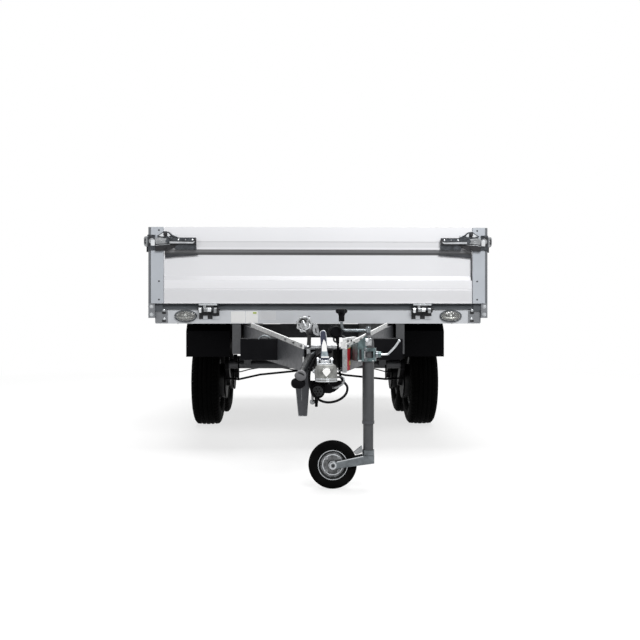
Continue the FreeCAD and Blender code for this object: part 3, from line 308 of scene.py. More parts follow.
def make_finishes():
    """Every finish, by the name that the pieces use."""
    return {
        "board": board_aluminium("board_satin_aluminium", (0.91, 0.915, 0.942)),
        "rail": metal("rail_satin_aluminium", (0.60, 0.62, 0.65), 0.3, 0.38, 3.0, 0.04,
                      700.0, 0.000006, (1, 1, 30)),
        # The posts' outer side faces, beyond 0.8855 m from the middle, are painted darker: painted shade.
        "post": side_shaded(metal("post_satin_aluminium", (0.47, 0.50, 0.54), 0.35, 0.38, 3.0, 0.04,
                            700.0, 0.000006, (30, 1, 1)), 0.8855, 0.0006, 0.3, True),
        "galvanised": galvanised("hot_dip_galvanised", (0.085, 0.088, 0.096), 0.42, 0.2),
        # Near-black galvanising of the cross members under the bed: painted shade.
        "dark_galvanised": galvanised("under_bed_shade_galvanised", (0.003, 0.0032, 0.0036), 0.5, 0.05),
        "beam_steel": galvanised("shaded_galvanised", (0.07, 0.072, 0.076), 0.5),
        "black_steel": soft_black("black_coated_steel", (0.009, 0.009, 0.01), 0.5, shine=0.05),
        "bright_galvanised": galvanised("bright_galvanised", (0.2, 0.209, 0.222)),
        "zinc": metal("bright_zinc", (0.14, 0.155, 0.165), 0.8, 0.2, 30.0, 0.35, 500.0, 0.00004),
        "polished": metal("polished_zinc", (0.72, 0.74, 0.76), 0.85, 0.16, 30.0, 0.1, 500.0, 0.00002),
        "cheek_zinc": metal("cheek_zinc", (0.15, 0.20, 0.205), 0.0, 0.5, 60.0, 0.5, 500.0, 0.00004),
        "zinc_green": metal("passivated_zinc", (0.10, 0.14, 0.145), 0.75, 0.2, 60.0, 0.5,
                            500.0, 0.00004),
        "latch_steel": metal("shaded_zinc", (0.055, 0.06, 0.067), 0.75, 0.25, 40.0, 0.5, 500.0, 0.00004),
        "shaded_plate": metal("shaded_plate", (0.035, 0.037, 0.042), 0.6, 0.35, 40.0, 0.3),
        "grey_zinc": metal("grey_zinc", (0.30, 0.31, 0.32), 0.6, 0.25, 40.0, 0.25, 500.0, 0.00004),
        "flange_zinc": metal("flange_zinc", (0.80, 0.82, 0.81), 0.0, 0.5, 70.0, 0.25, 300.0, 0.00006),
        "small_rim": metal("small_rim_zinc", (0.10, 0.103, 0.106), 0.8, 0.25, 60.0, 0.6, 400.0, 0.00006),
        "pale_zinc": metal("pale_zinc", (0.52, 0.54, 0.56), 0.7, 0.2, 40.0, 0.15, 500.0, 0.00003),
        "casting": metal("zinc_casting", (0.27, 0.27, 0.255), 0.75, 0.26, 45.0, 0.3, 260.0, 0.00012),
        "dark_casting": metal("dark_casting", (0.02, 0.02, 0.021), 0.5, 0.5, 45.0, 0.3, 260.0, 0.0002),
        "dark_steel": metal("blackened_steel", (0.012, 0.012, 0.014), 0.4, 0.45, 30.0, 0.2),
        "seal": soft_black("seal_rubber", (0.11, 0.12, 0.132), 0.55, shine=0.15),
        "rubber": soft_black("bellows_rubber", (0.006, 0.006, 0.007), 0.45),
        "plastic": soft_black("moulded_plastic", (0.004, 0.004, 0.005), 0.5),
        "tyre": soft_black("tyre_rubber", (0.003, 0.003, 0.003), 0.7, 900.0, 0.00006, 0.4, 0.02),
        # The rim's inner part, nearer the middle than 0.668 m, is painted nearly black: painted shade
        # inside the wheel.
        "rim": side_shaded(metal("rim_silver_paint", (0.45, 0.46, 0.48), 0.4, 0.32, 20.0, 0.05),
                     0.668, 0.004, 0.05, False),
        "floor_board": plywood("film_faced_plywood"),
        # Dark blue and pale zinc of the coupling lever: its upper body's painted reflection and its lower
        # part's painted light.
        "zinc_blue": metal("lever_zinc_painted_dark", (0.05, 0.055, 0.085), 0.8, 0.16, 30.0, 0.3,
                           500.0, 0.00003),
        "pale_blue": metal("lever_zinc_painted_light", (0.34, 0.40, 0.43), 0.75, 0.18, 70.0, 0.4,
                           500.0, 0.00003),
        # Near-white metal for painted highlights on the coupling.
        "highlight_patch": metal("painted_glint_metal", (0.97, 0.97, 0.96), 0.9, 0.1, 20.0, 0.02, 500.0, 0.00001),
        "cast_zinc": metal("cast_zinc", (0.36, 0.37, 0.38), 0.75, 0.24, 70.0, 0.5, 260.0, 0.0001),
        "head_zinc": metal("head_casting", (0.19, 0.193, 0.185), 0.75, 0.5, 60.0, 0.5, 260.0, 0.0001),
        "chrome": metal("reflector_chrome", (0.036, 0.037, 0.034), 0.9, 0.5, 60.0, 0.5, 500.0, 0.00001),
        "ring_chrome": metal("ring_chrome", (0.27, 0.27, 0.255), 0.6, 0.3, 60.0, 0.4,
                             500.0, 0.00001),
        "grip": soft_black("grip_rubber", (0.014, 0.015, 0.016), 0.4, dust=0.9, shine=0.25),
        "button_grey": soft_black("button_plastic", (0.19, 0.19, 0.2), 0.45, 300.0, 0.0001, 0.6, 0.3),
        "lamp_grey": soft_black("grey_plastic", (0.13, 0.135, 0.14), 0.4),
        "paper": soft_black("label_white", (0.98, 0.985, 0.975), 0.5, 900.0, 0.00001, 0.02),
        "pale_plate": soft_black("blank_plate", (0.70, 0.71, 0.73), 0.45, 900.0, 0.00001, 0.02),
        "green_patch": soft_black("label_green", (0.50, 0.60, 0.16), 0.5, 900.0, 0.00001, 0.02),
        "red_patch": soft_black("sticker_red", (0.55, 0.03, 0.04), 0.45, 900.0, 0.00001, 0.02),
        "yellow_patch": soft_black("sticker_yellow", (0.72, 0.50, 0.08), 0.45, 900.0, 0.00001, 0.02),
        "lens_pale": clear_lens("lamp_lens_pale", (0.85, 0.86, 0.86), 0.3),
        "lens_clear": clear_lens("lamp_lens_clear", (0.92, 0.93, 0.92), 0.9, 0.05),
        "lens_red": clear_lens("lamp_lens_red", (0.5, 0.01, 0.01), 0.2),
        "lens_amber": clear_lens("lamp_lens_amber", (0.8, 0.22, 0.01), 0.2),
    }


# Shapes. Each is worked out as whole arrays of points.

def skin(name, rows, close_u=False, close_v=False, cap=True):
    """A mesh from a grid of points rows[u][v], in millimetres from the face.
    close_u joins the last row to the first, close_v the last column to the
    first, and cap fills the open ends of a tube, which is closed along v."""
    rows = np.asarray(rows, float) * MM + (0, FACE_Y, 0)
    nu, nv = rows.shape[:2]
    u = np.arange(nu if close_u else nu - 1)
    v = np.arange(nv if close_v else nv - 1)
    a = (u[:, None] * nv + v[None, :])
    b = (u[:, None] * nv + (v[None, :] + 1) % nv)
    c = (((u[:, None] + 1) % nu) * nv + (v[None, :] + 1) % nv)
    d = (((u[:, None] + 1) % nu) * nv + v[None, :])
    faces = np.stack([a, b, c, d], -1).reshape(-1, 4).tolist()
    if cap and close_v and not close_u:
        faces.append(list(range(nv))[::-1])
        faces.append(list(range((nu - 1) * nv, nu * nv)))
    mesh = bpy.data.meshes.new(name)
    mesh.from_pydata(rows.reshape(-1, 3).tolist(), [], faces)
    return mesh


def finished(meshes, name, body, finish, smooth=True, bevel=0.0, replaces=()):
    """One object from meshes, with outward faces, its finish and its body."""
    work = bmesh.new()
    for mesh in meshes:
        work.from_mesh(mesh)
    bmesh.ops.remove_doubles(work, verts=work.verts, dist=WELD)
    bmesh.ops.recalc_face_normals(work, faces=work.faces)
    mesh = bpy.data.meshes.new(name)
    work.to_mesh(mesh)
    work.free()
    piece = bpy.data.objects.new(name, mesh)
    bpy.context.scene.collection.objects.link(piece)
    piece.data.materials.append(FINISH[finish])
    if smooth:
        mesh.shade_smooth()
        mesh.set_sharp_from_angle(angle=SHARP_ANGLE)
    if bevel:
        edge = piece.modifiers.new("edge", "BEVEL")
        edge.width = bevel
        edge.segments = 2
        edge.limit_method = "ANGLE"
    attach(piece, body)
    if replaces:
        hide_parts(*replaces)
    return piece


def fixed(meshes, name, finish, **looks):
    """One object that stays with the chassis."""
    return finished(meshes, name, "chassis", finish, **looks)


def axes_for(along):
    """Two unit vectors at right angles to the direction and to each other."""
    along = np.asarray(along, float) / np.linalg.norm(along)
    helper = np.array([0.0, 0.0, 1.0]) if abs(along[2]) < 0.9 else np.array([1.0, 0.0, 0.0])
    side = np.cross(helper, along)
    side /= np.linalg.norm(side)
    return along, side, np.cross(along, side)


def lathe(name, profile, centre, along, steps=48, wave=None, ring=False):
    """A profile of (radius, distance) turned about an axis: each point is
    centre + distance * axis + radius * (cos(t), sin(t)) across the axis.
    wave, if given, adds to the radius from the arrays of angle and distance.
    A ring's profile runs round a closed section, so it has no end faces."""
    along, side, up = axes_for(along)
    profile = np.asarray(profile, float)
    angle = np.linspace(0, 2 * np.pi, steps, endpoint=False)
    radius = np.repeat(profile[:, :1], steps, 1)
    if wave is not None:
        radius = radius + wave(angle[None, :], profile[:, 1:])
    spoke = np.cos(angle)[:, None] * side + np.sin(angle)[:, None] * up
    rows = np.asarray(centre) + profile[:, 1][:, None, None] * along + radius[:, :, None] * spoke
    return skin(name, rows, close_u=ring, close_v=True)


def slab(name, x, y, z):
    """A block between two corners, given as pairs along each axis."""
    rows = [[(x[0], y[0], k), (x[1], y[0], k), (x[1], y[1], k), (x[0], y[1], k)] for k in z]
    return skin(name, rows, close_v=True)


def plate(name, outline, along):
    """A flat outline of points carried along a vector."""
    outline = np.asarray(outline, float)
    return skin(name, [outline, outline + np.asarray(along, float)], close_v=True)


def upright(name, outline, y, thick):
    """An outline of (x, z) standing at that y, with its thickness along +Y."""
    return plate(name, [(x, y, z) for x, z in outline], (0, thick, 0))


def tube(name, points, radius, sides=16, smooth_steps=0):
    """A round bar along points: at each point a ring at right angles to the
    direction from the point before to the one after."""
    points = np.asarray(points, float)
    if smooth_steps:
        points = smooth_path(points, smooth_steps)
    ahead = np.gradient(points, axis=0)
    ahead /= np.linalg.norm(ahead, axis=1)[:, None]
    side = np.zeros_like(points)
    _, side[0], _ = axes_for(ahead[0])
    for i in range(1, len(points)):
        s = side[i - 1] - ahead[i] * np.dot(side[i - 1], ahead[i])
        side[i] = s / np.linalg.norm(s)
    up = np.cross(ahead, side)
    angle = np.linspace(0, 2 * np.pi, sides, endpoint=False)
    radius = np.broadcast_to(np.asarray(radius, float), len(points))
    rows = points[:, None] + radius[:, None, None] * (
        np.cos(angle)[None, :, None] * side[:, None] + np.sin(angle)[None, :, None] * up[:, None])
    return skin(name, rows, close_v=True)


def smooth_path(points, steps):
    """Points on a Catmull-Rom curve through the given points."""
    p = np.vstack([2 * points[0] - points[1], points, 2 * points[-1] - points[-2]])
    t = np.linspace(0, 1, steps, endpoint=False)[:, None]
    runs = []
    for a, b, c, d in zip(p[:-3], p[1:-2], p[2:-1], p[3:]):
        runs.append(0.5 * (2 * b + (c - a) * t + (2 * a - 5 * b + 4 * c - d) * t ** 2
                           + (3 * b - a - 3 * c + d) * t ** 3))
    return np.vstack(runs + [points[-1:]])


def reworked(mesh, move):
    """A copy of the mesh whose array of points has gone through the function."""
    copy = mesh.copy()
    points = np.empty(len(mesh.vertices) * 3)
    mesh.vertices.foreach_get("co", points)
    copy.vertices.foreach_set("co", move(points.reshape(-1, 3)).ravel())
    return copy


def flipped(mesh):
    """A copy on the other side of the trailer's middle plane: x becomes -x."""
    return reworked(mesh, lambda p: p * (-1, 1, 1))


def at_tail(mesh):
    """A copy at the tail end: y becomes twice the bed's middle less y."""
    return reworked(mesh, lambda p: p * (1, -1, 1) + (0, FACE_Y + TAIL_Y, 0))


def shifted(mesh, x):
    """A copy moved along X by that many millimetres."""
    return reworked(mesh, lambda p: p + (x * MM, 0, 0))


def both(mesh):
    """The mesh and its copy on the other side."""
    return [mesh, flipped(mesh)]


def corners(mesh):
    """The mesh at all four corners of the bed."""
    return both(mesh) + both(at_tail(mesh))


def side_turned(mesh, y):
    """A front piece turned to the right side: (x, y) becomes (-y, x), then
    moved out to the side boards' face and back along the bed by y."""
    def turned(points):
        ahead = points - (0, FACE_Y, 0)
        return np.stack([SIDE_X - ahead[:, 1], ahead[:, 0] + FACE_Y + y * MM, ahead[:, 2]], 1)
    return reworked(mesh, turned)


def hex_head(name, centre, along, width=17.0, height=8.0):
    """Bolt head: a hexagon across its flats with a chamfered top and a washer."""
    r = width / 2 / math.cos(math.radians(30))
    head = lathe(name, [(r, 1.5), (r, height - 1.5), (r - 1.5, height)], centre, along, 6)
    washer = lathe(name, [(r + 2.5, 0), (r + 2.5, 1.5)], centre, along, 24)
    return [head, washer]


def dome_profile(radius, height, share=0.97, steps=8):
    """Profile of a dome that nearly closes: radius r cos(t), height h sin(t)."""
    t = np.linspace(0, np.pi / 2 * share, steps)
    return np.stack([radius * np.cos(t), height * np.sin(t)], 1)


def ball_profile(radius, low=-88, high=88, steps=13):
    """Profile of a ball between two angles in degrees from its equator."""
    t = np.radians(np.linspace(low, high, steps))
    return np.stack([radius * np.cos(t), radius * np.sin(t)], 1)


def dome_head(name, centre, along, radius, height):
    """Round head of a bolt or a rivet."""
    return lathe(name, dome_profile(radius, height, 0.96, 6), centre, along, 20)


def at(x, y, z):
    """A place in millimetres, with Y counted from the face, in the frame's metres."""
    return np.array([x * MM, FACE_Y + y * MM, z * MM])


# Settings

class TrailerSettings(bpy.types.PropertyGroup):
    camera_distance: bpy.props.FloatProperty(
        name="Camera distance", description="From the front board's face",
        default=4.5, unit="LENGTH")
    camera_height: bpy.props.FloatProperty(
        name="Camera height", description="Above the floor", default=0.695, unit="LENGTH")
    camera_side: bpy.props.FloatProperty(
        name="Camera offset", description="To the right of the trailer's middle",
        default=-0.108, unit="LENGTH")
    camera_turn: bpy.props.FloatProperty(
        name="Camera turn", description="Turn to the right from looking straight along the trailer",
        default=math.radians(1.456), subtype="ANGLE")
    lens: bpy.props.FloatProperty(
        name="Lens", description="Focal length for a 36 mm wide sensor, in millimetres",
        default=47.8)
    floor_colour: bpy.props.FloatVectorProperty(
        name="Floor colour", description="Pale studio floor and backdrop",
        default=(0.96, 0.96, 0.96), subtype="COLOR", size=3)
    floor_bounce: bpy.props.FloatVectorProperty(
        name="Floor bounce", description="Colour of the light that the floor throws back",
        default=(0.08, 0.08, 0.08), subtype="COLOR", size=3)
    sky: bpy.props.FloatProperty(
        name="Sky", description="Strength of the even light from all round", default=0.26)
    bolt_size: bpy.props.FloatProperty(
        name="Post bolt", description="Width of a bolt head on the posts",
        default=0.009, unit="LENGTH")
    tread_depth: bpy.props.FloatProperty(
        name="Tread depth", description="Depth of the tyre grooves", default=0.007, unit="LENGTH")


NODE_FINISHES = {
    "board": ("front_board", "tail_board", "left_board", "right_board"),
    "rail": ("end_rails", "side_rails"),
    "post": ("corner_posts",),
    "floor_board": ("load_floor",),
    "galvanised": ("drawbar_arms", "support_bracket", "rear_bar"),
    "beam_steel": ("main_beams", "axle_beams", "jockey_outer_tube", "jockey_inner_tube"),
    "dark_galvanised": ("cross_members",),
    "black_steel": ("swing_arms",),
    "bright_galvanised": ("corner_brackets", "cross_plate"),
    "zinc": ("coupling_handle", "cast_cap", "clamp_handle", "jockey_crank", "jockey_fork",
             "jockey_rim"),
    "latch_steel": ("post_catches", "front_fittings", "tail_fittings", "left_fittings",
                    "right_fittings"),
    # The rail hinges' near black is painted shade under the knuckles.
    "dark_steel": ("rail_hinges", "park_bracket"),
    "zinc_green": ("jockey_clamp",),
    "casting": ("coupling_head",),
    "dark_casting": ("overrun_housing",),
    # The bed seals' dark grey is partly their own rubber, partly painted shadow under the boards.
    "seal": ("bed_seals",),
    "rubber": ("coupling_bellows",),
    "plastic": ("mudguards", "wheel_chocks", "crank_knob", "handbrake_lever", "brake_lines",
                "plug", "park_socket", "cable_gland", "connecting_cable"),
    "tyre": ("front_left_tyre", "front_right_tyre", "rear_left_tyre", "rear_right_tyre",
             "jockey_tyre"),
    "rim": ("front_left_rim", "front_right_rim", "rear_left_rim", "rear_right_rim"),
    "lens_clear": ("front_lamps",),
    "lens_red": ("rear_lamps",),
}


class TRAILER_OT_finishes(bpy.types.Operator):
    """Give every carried-over piece its finish"""
    bl_idname = "trailer.finishes"
    bl_label = "Finishes"

    def execute(self, context):
        for finish, names in NODE_FINISHES.items():
            for name in names:
                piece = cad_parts[name]
                piece.data.materials.clear()
                piece.data.materials.append(FINISH[finish])
        return {"FINISHED"}


# Wheels

WHEELS = {"front_left": (-1, 1210), "front_right": (1, 1210),
          "rear_left": (-1, 1950), "rear_right": (1, 1950)}
WHEEL_R = 289.0
TRACK_HALF = 705.0


def tyre_profile(groove):
    """Section as (radius, distance): bead, bulging sidewall with two raised
    rings, shoulder, then a crown that falls off with the square of the
    distance and has four round-bottomed grooves."""
    side = np.array([(165, -51), (168, -57), (176, -66), (190, -77), (204, -84), (206, -86),
                     (209, -86), (211, -85.7), (224, -88.4), (238, -89.4), (240, -90), (244, -90),
                     (246, -88.8), (258, -86), (268, -82.5), (275, -78), (281, -72)], float)
    d = np.linspace(-69, 69, 57)
    cut = np.zeros_like(d)
    for centre in (-42, -15, 15, 42):
        cut = np.maximum(cut, np.clip(1.35 - np.abs(d - centre) / 4.6, 0, 1))
    crown = np.stack([289 - 4.5 * (d / 69) ** 2 - groove * cut, d], 1)
    far = side[::-1] * (1, -1)
    return np.vstack([side, crown, far])


def shoulder_blocks(depth, pitches=60):
    """Radius taken off by slots across the shoulders: a pulse in the angle,
    wherever the distance from the middle is more than 42 mm."""
    def wave(angle, distance):
        across = np.clip((np.abs(distance) - 48) / 4, 0, 1) * (np.abs(distance) < 80)
        slant = (angle + 0.0012 * distance) * pitches / (2 * np.pi)
        pulse = (np.mod(slant, 1) < 0.25).astype(float)
        middle = (np.abs(np.abs(distance) - 28) < 8) * (np.mod(slant + 0.5, 1) < 0.2)
        return -depth * 0.8 * across * pulse - depth * 0.35 * middle
    return wave


class TRAILER_OT_tyres(bpy.types.Operator):
    """Treaded tyres of the four wheels"""
    bl_idname = "trailer.tyres"
    bl_label = "Tyres"

    def execute(self, context):
        depth = context.scene.trailer.tread_depth / MM
        for place, (side, y) in WHEELS.items():
            mesh = lathe("tyre", tyre_profile(depth), (side * TRACK_HALF, y, WHEEL_R), (1, 0, 0), 300,
                         shoulder_blocks(depth), ring=True)
            finished([mesh], place + "_tyre_tread", place + "_wheel", "tyre",
                     replaces=(place + "_tyre",))
        return {"FINISHED"}


class TRAILER_OT_wheel_fittings(bpy.types.Operator):
    """Wheel bolts, hub cap and valve of each wheel"""
    bl_idname = "trailer.wheel_fittings"
    bl_label = "Wheel fittings"

    def execute(self, context):
        for place, (side, y) in WHEELS.items():
            out = (side, 0, 0)
            heads = []
            for angle in np.arange(5) * 2 * np.pi / 5:
                centre = (side * (TRACK_HALF + 30), y + 56 * math.sin(angle),
                          WHEEL_R + 56 * math.cos(angle))
                heads += hex_head("wheel_bolt", centre, out, 19.5, 14)
            finished(heads, place + "_wheel_bolts", place + "_wheel", "zinc", smooth=False)
            cap = np.vstack([[(26, -16), (26, 0)], dome_profile(26, 7)])
            finished([lathe("hub_cap", cap, (side * (TRACK_HALF + 57), y, WHEEL_R), out, 40)],
                     place + "_hub_cap", place + "_wheel", "zinc")
            valve = tube("valve", [(side * (TRACK_HALF + 38), y, WHEEL_R + 146),
                                   (side * (TRACK_HALF + 48), y, WHEEL_R + 143),
                                   (side * (TRACK_HALF + 72), y, WHEEL_R + 138)], (5, 4.2, 3.6), 12)
            finished([valve], place + "_valve", place + "_wheel", "rubber")
        return {"FINISHED"}


# Jockey wheel

LEG_X, LEG_Y = 180.0, -1000.0
SMALL_X, SMALL_Z = 33.0, 100.0


class TRAILER_OT_jockey_wheel(bpy.types.Operator):
    """Small tyre, two-part pressed rim, axle nuts and a collar on the leg"""
    bl_idname = "trailer.jockey_wheel"
    bl_label = "Jockey wheel"

    def execute(self, context):
        centre = (SMALL_X, LEG_Y, SMALL_Z)
        t = np.radians(np.linspace(-88, 88, 27))
        crown = np.stack([80 + 20 * np.cos(t) ** 0.7, 20 * np.sin(t)], 1)
        crown[:, 0] -= 1.8 * (np.abs(np.abs(crown[:, 1]) - 6.5) < 1.6)
        profile = np.vstack([[(62, -16), (63, -18), (68, -19.5)], crown, [(68, 19.5), (63, 18), (62, 16)]])
        finished([lathe("small_tyre", profile, centre, (0, 1, 0), 96, ring=True)], "jockey_tyre_ribbed",
                 "jockey_wheel", "tyre", replaces=("jockey_tyre",))
        half = [(8.1, 24), (17, 24), (18, 22), (18, 12), (21, 8.5), (34, 7), (44, 5.5), (50, 6),
                (53, 9), (55, 15), (58, 18), (61, 18), (61.8, 16.5)]
        section = [(r, -d) for r, d in half] + [(61.8, -15), (61.8, 15)] + half[::-1]
        rim = [lathe("small_rim", section, centre, (0, 1, 0), 96, ring=True)]
        finished(rim, "jockey_rim_pressed", "jockey_wheel", "small_rim", replaces=("jockey_rim",))
        bolts = []
        for angle in np.radians((45, 135, 225, 315)):
            x, z = SMALL_X + 38 * math.cos(angle), SMALL_Z + 38 * math.sin(angle)
            for out in (-1, 1):
                bolts += hex_head("rim_bolt", (x, LEG_Y + out * 6.4, z), (0, out, 0), 9, 5)
        finished(bolts, "jockey_rim_bolts", "jockey_wheel", "grey_zinc", smooth=False)
        # Pale raised rings on the dark rim: painted highlights on the rim's beads.
        beads = []
        for out in (-1, 1):
            for low, high, near, far in ((58, 61.6, 17, 18.8), (38.5, 43.5, 5, 8.5), (14, 18.4, 22, 24.8)):
                bead = [(low, out * near), (high, out * near), (high - 0.5, out * far),
                        (low + 1, out * far)]
                beads.append(lathe("bead", bead, centre, (0, 1, 0), 72, ring=True))
        finished(beads, "jockey_rim_beads", "jockey_wheel", "pale_zinc")
        # A pale edge along the fork's upper side: painted highlight.
        edge = [(50, 113.2), (157, 136.0), (157, 139.6), (50, 117.2)]
        finished([upright("fork_highlight_edge", edge, LEG_Y - 33.8, 1)],
                 "jockey_fork_highlight", "jockey_swivel", "pale_zinc", smooth=False)
        ends = [(SMALL_X + 86, 151), (SMALL_X + 120, 178), (SMALL_X + 124, 152), (SMALL_X + 98, 141)]
        finished([upright("gusset", ends, LEG_Y - 10, 20)],
                 "jockey_fork_gusset", "jockey_swivel", "grey_zinc", smooth=False, bevel=0.002)
        nuts = []
        washers = []
        for out in (-1, 1):
            nuts += hex_head("axle_nut", (SMALL_X, LEG_Y + out * 33, SMALL_Z), (0, out, 0), 12, 9)
            washer = [(8, out * 33), (15, out * 33), (14.4, out * 35.6), (9, out * 36.4)]
            washers.append(lathe("axle_washer", washer, centre, (0, 1, 0), 40, ring=True))
        finished(nuts, "jockey_axle_nuts", "jockey_swivel", "dark_steel", smooth=False)
        finished(washers, "jockey_axle_washers", "jockey_swivel", "pale_zinc")
        collar = [(24.02, 267.5), (25.6, 268), (25.6, 280), (24.02, 281)]
        fixed([lathe("collar", collar, (LEG_X, LEG_Y, 0), (0, 0, 1), 48, ring=True)],
              "jockey_tube_collar", "galvanised")
        return {"FINISHED"}


class TRAILER_OT_jockey_crank(bpy.types.Operator):
    """Bent crank, three-lobed knob, clamp screw and handle"""
    bl_idname = "trailer.jockey_crank"
    bl_label = "Jockey crank"

    def execute(self, context):
        top = 642.0
        arm = tube("crank", [(LEG_X, LEG_Y, top + 10), (LEG_X - 60, LEG_Y, top + 10),
                             (LEG_X - 96, LEG_Y, top + 11), (LEG_X - 107, LEG_Y, top + 20),
                             (LEG_X - 110, LEG_Y, top + 46)], 5.8, 16, 5)
        hub = lathe("crank_hub", [(9, 0), (10, 1), (10, 24), (8.5, 26)], (LEG_X, LEG_Y, top),
                    (0, 0, 1), 32)
        pin = lathe("crank_pin", [(2.6, -13), (2.6, 13)], (LEG_X, LEG_Y, top + 19), (0, 1, 0), 12)
        fixed([arm, hub, pin], "crank_arm", "zinc", replaces=("jockey_crank",))
        t = np.linspace(-1, 1, 15)
        flat = np.sqrt(np.clip(1 - np.abs(t) ** 3, 0, 1)) * 0.96 + 0.04
        body = np.stack([21.5 * flat, 12.5 * t], 1)
        lobes = lathe("knob", body, (LEG_X - 110, LEG_Y, 731.5), (0, 0, 1), 90,
                      lambda angle, d: 4.6 * np.cos(3 * angle) * np.sqrt(np.clip(1 - (d / 13) ** 2, 0, 1)))
        stem = lathe("knob_stem", [(11, 689), (12, 691), (12, 712), (15, 721)],
                     (LEG_X - 110, LEG_Y, 0), (0, 0, 1), 32)
        fixed([lobes, stem], "crank_knob_lobed", "plastic", replaces=("crank_knob",))
        z = 553.0
        lever = tube("clamp_lever", [(232, LEG_Y, z), (252, LEG_Y, z), (264, LEG_Y, z + 4),
                                     (288, LEG_Y, z + 28), (308, LEG_Y, z + 56)],
                     4.3, 16, 5)
        ball = lathe("lever_ball", ball_profile(6, -86, 86), (308, LEG_Y, z + 56), (0, 0, 1), 24)
        fixed([lever, ball], "clamp_lever", "pale_zinc", replaces=("clamp_handle",))
        cheek = [(116.5, -917, 526), (135.8, -1020, 526), (135.8, -1020, 604), (116.5, -917, 590)]
        face = [(135.8, 526), (158, 526), (158, 580), (172, 584), (172, 630), (158, 622), (135.8, 604)]
        fixed([plate("clamp_cheek", cheek, (-1.2, -0.2, 0))], "clamp_cheek",
              "cheek_zinc", smooth=False, bevel=0.0006)
        fixed([upright("clamp_face", face, -1026, 2)], "clamp_face", "zinc_green", smooth=False,
              bevel=0.0006)
        # A dark sheet in the clamp's window: painted shade.
        fixed([slab("clamp_window_shade", (141, 157), (-1026.8, -1026), (534, 575))], "clamp_window_shade",
              "dark_steel", smooth=False)
        bright = [tube("clamp_rod", [(163.5, -1029, 528), (163.5, -1029, 577)], 1.8, 10),
                  slab("clamp_lip", (137, 200), (-1029.4, -1028.2), (526, 530)),
                  dome_head("clamp_dome", (172, -1026, 612), (0, -1, 0), 8, 5),
                  slab("clamp_top", (166, 192), (-1027, -1025), (590, 620))]
        fixed(bright[:3], "clamp_bright", "polished")
        fixed(bright[3:], "clamp_top", "cast_zinc", smooth=False, bevel=0.002)
        collar = lathe("clamp_collar", [(12.1, 206), (13.5, 207), (13.5, 220), (12.1, 221)],
                       (0, LEG_Y, z), (1, 0, 0), 32)
        fixed([collar], "clamp_collar", "zinc")
        heads = []
        for height in (533, 573):
            heads += hex_head("clamp_bolt", (168, LEG_Y - 28.5, height), (0, -1, 0), 13, 7)
        fixed(heads, "clamp_bolts", "zinc", smooth=False)
        return {"FINISHED"}


# Bed

END_HINGES = (-582.0, 550.0)
SIDE_HINGES = (405.0, 1550.0, 2695.0)


def hinge_meshes():
    """Pieces of one hinge at x = 0 in front, by body and finish: the leaf's edge,
    sleeves on the knuckles and strips on the plate. The hinge is one metal given lit
    and shaded finishes: the pale leaf edge and the polished sleeves, feet and ear face
    are painted highlights, the dark web face is painted shade."""
    def sleeve(x0, x1, radius):
        return lathe("sleeve", [(8.05, x0), (radius, x0 + 0.8), (radius, x1 - 0.8), (8.05, x1)],
                     (0, -9, 752), (1, 0, 0), 32)
    board = {"pale_zinc": [slab("leaf_edge", (-50, 46), (-16.2, -8.1), (772, 781))],
             "grey_zinc": [slab("web_side", (-27, -13), (-15.4, -14.1), (756, 771)),
                           sleeve(-24, -5, 9.2), slab("knuckle_foot", (-24, -6), (-15, -8), (738, 747))],
             "dark_steel": [slab("web_face", (-12, 26), (-15.4, -14.1), (757, 771))],
             "polished": [sleeve(-4, 16, 9.2), slab("knuckle_foot", (-5, 14), (-15, -8), (739, 747))]}
    chassis = {"polished": [sleeve(-51, -36, 8.9),
                            slab("ear_face", (-50, -37), (-14.4, -13.1), (733, 746))],
               "grey_zinc": [sleeve(29, 44, 8.9),
                             slab("ear_face", (28, 43), (-14.4, -13.1), (731.5, 746))],
               "rail": [slab("plate_notch", (-32, -8), (28.8, 30), (699.5, 718)),
                        slab("plate_notch", (18, 54), (28.8, 30), (699.5, 716))],
               "dark_steel": [m for x in (-42, 6)
                              for m in hex_head("hinge_bolt", (x, 30, 722), (0, -1, 0), 11, 5)]}
    return board, chassis


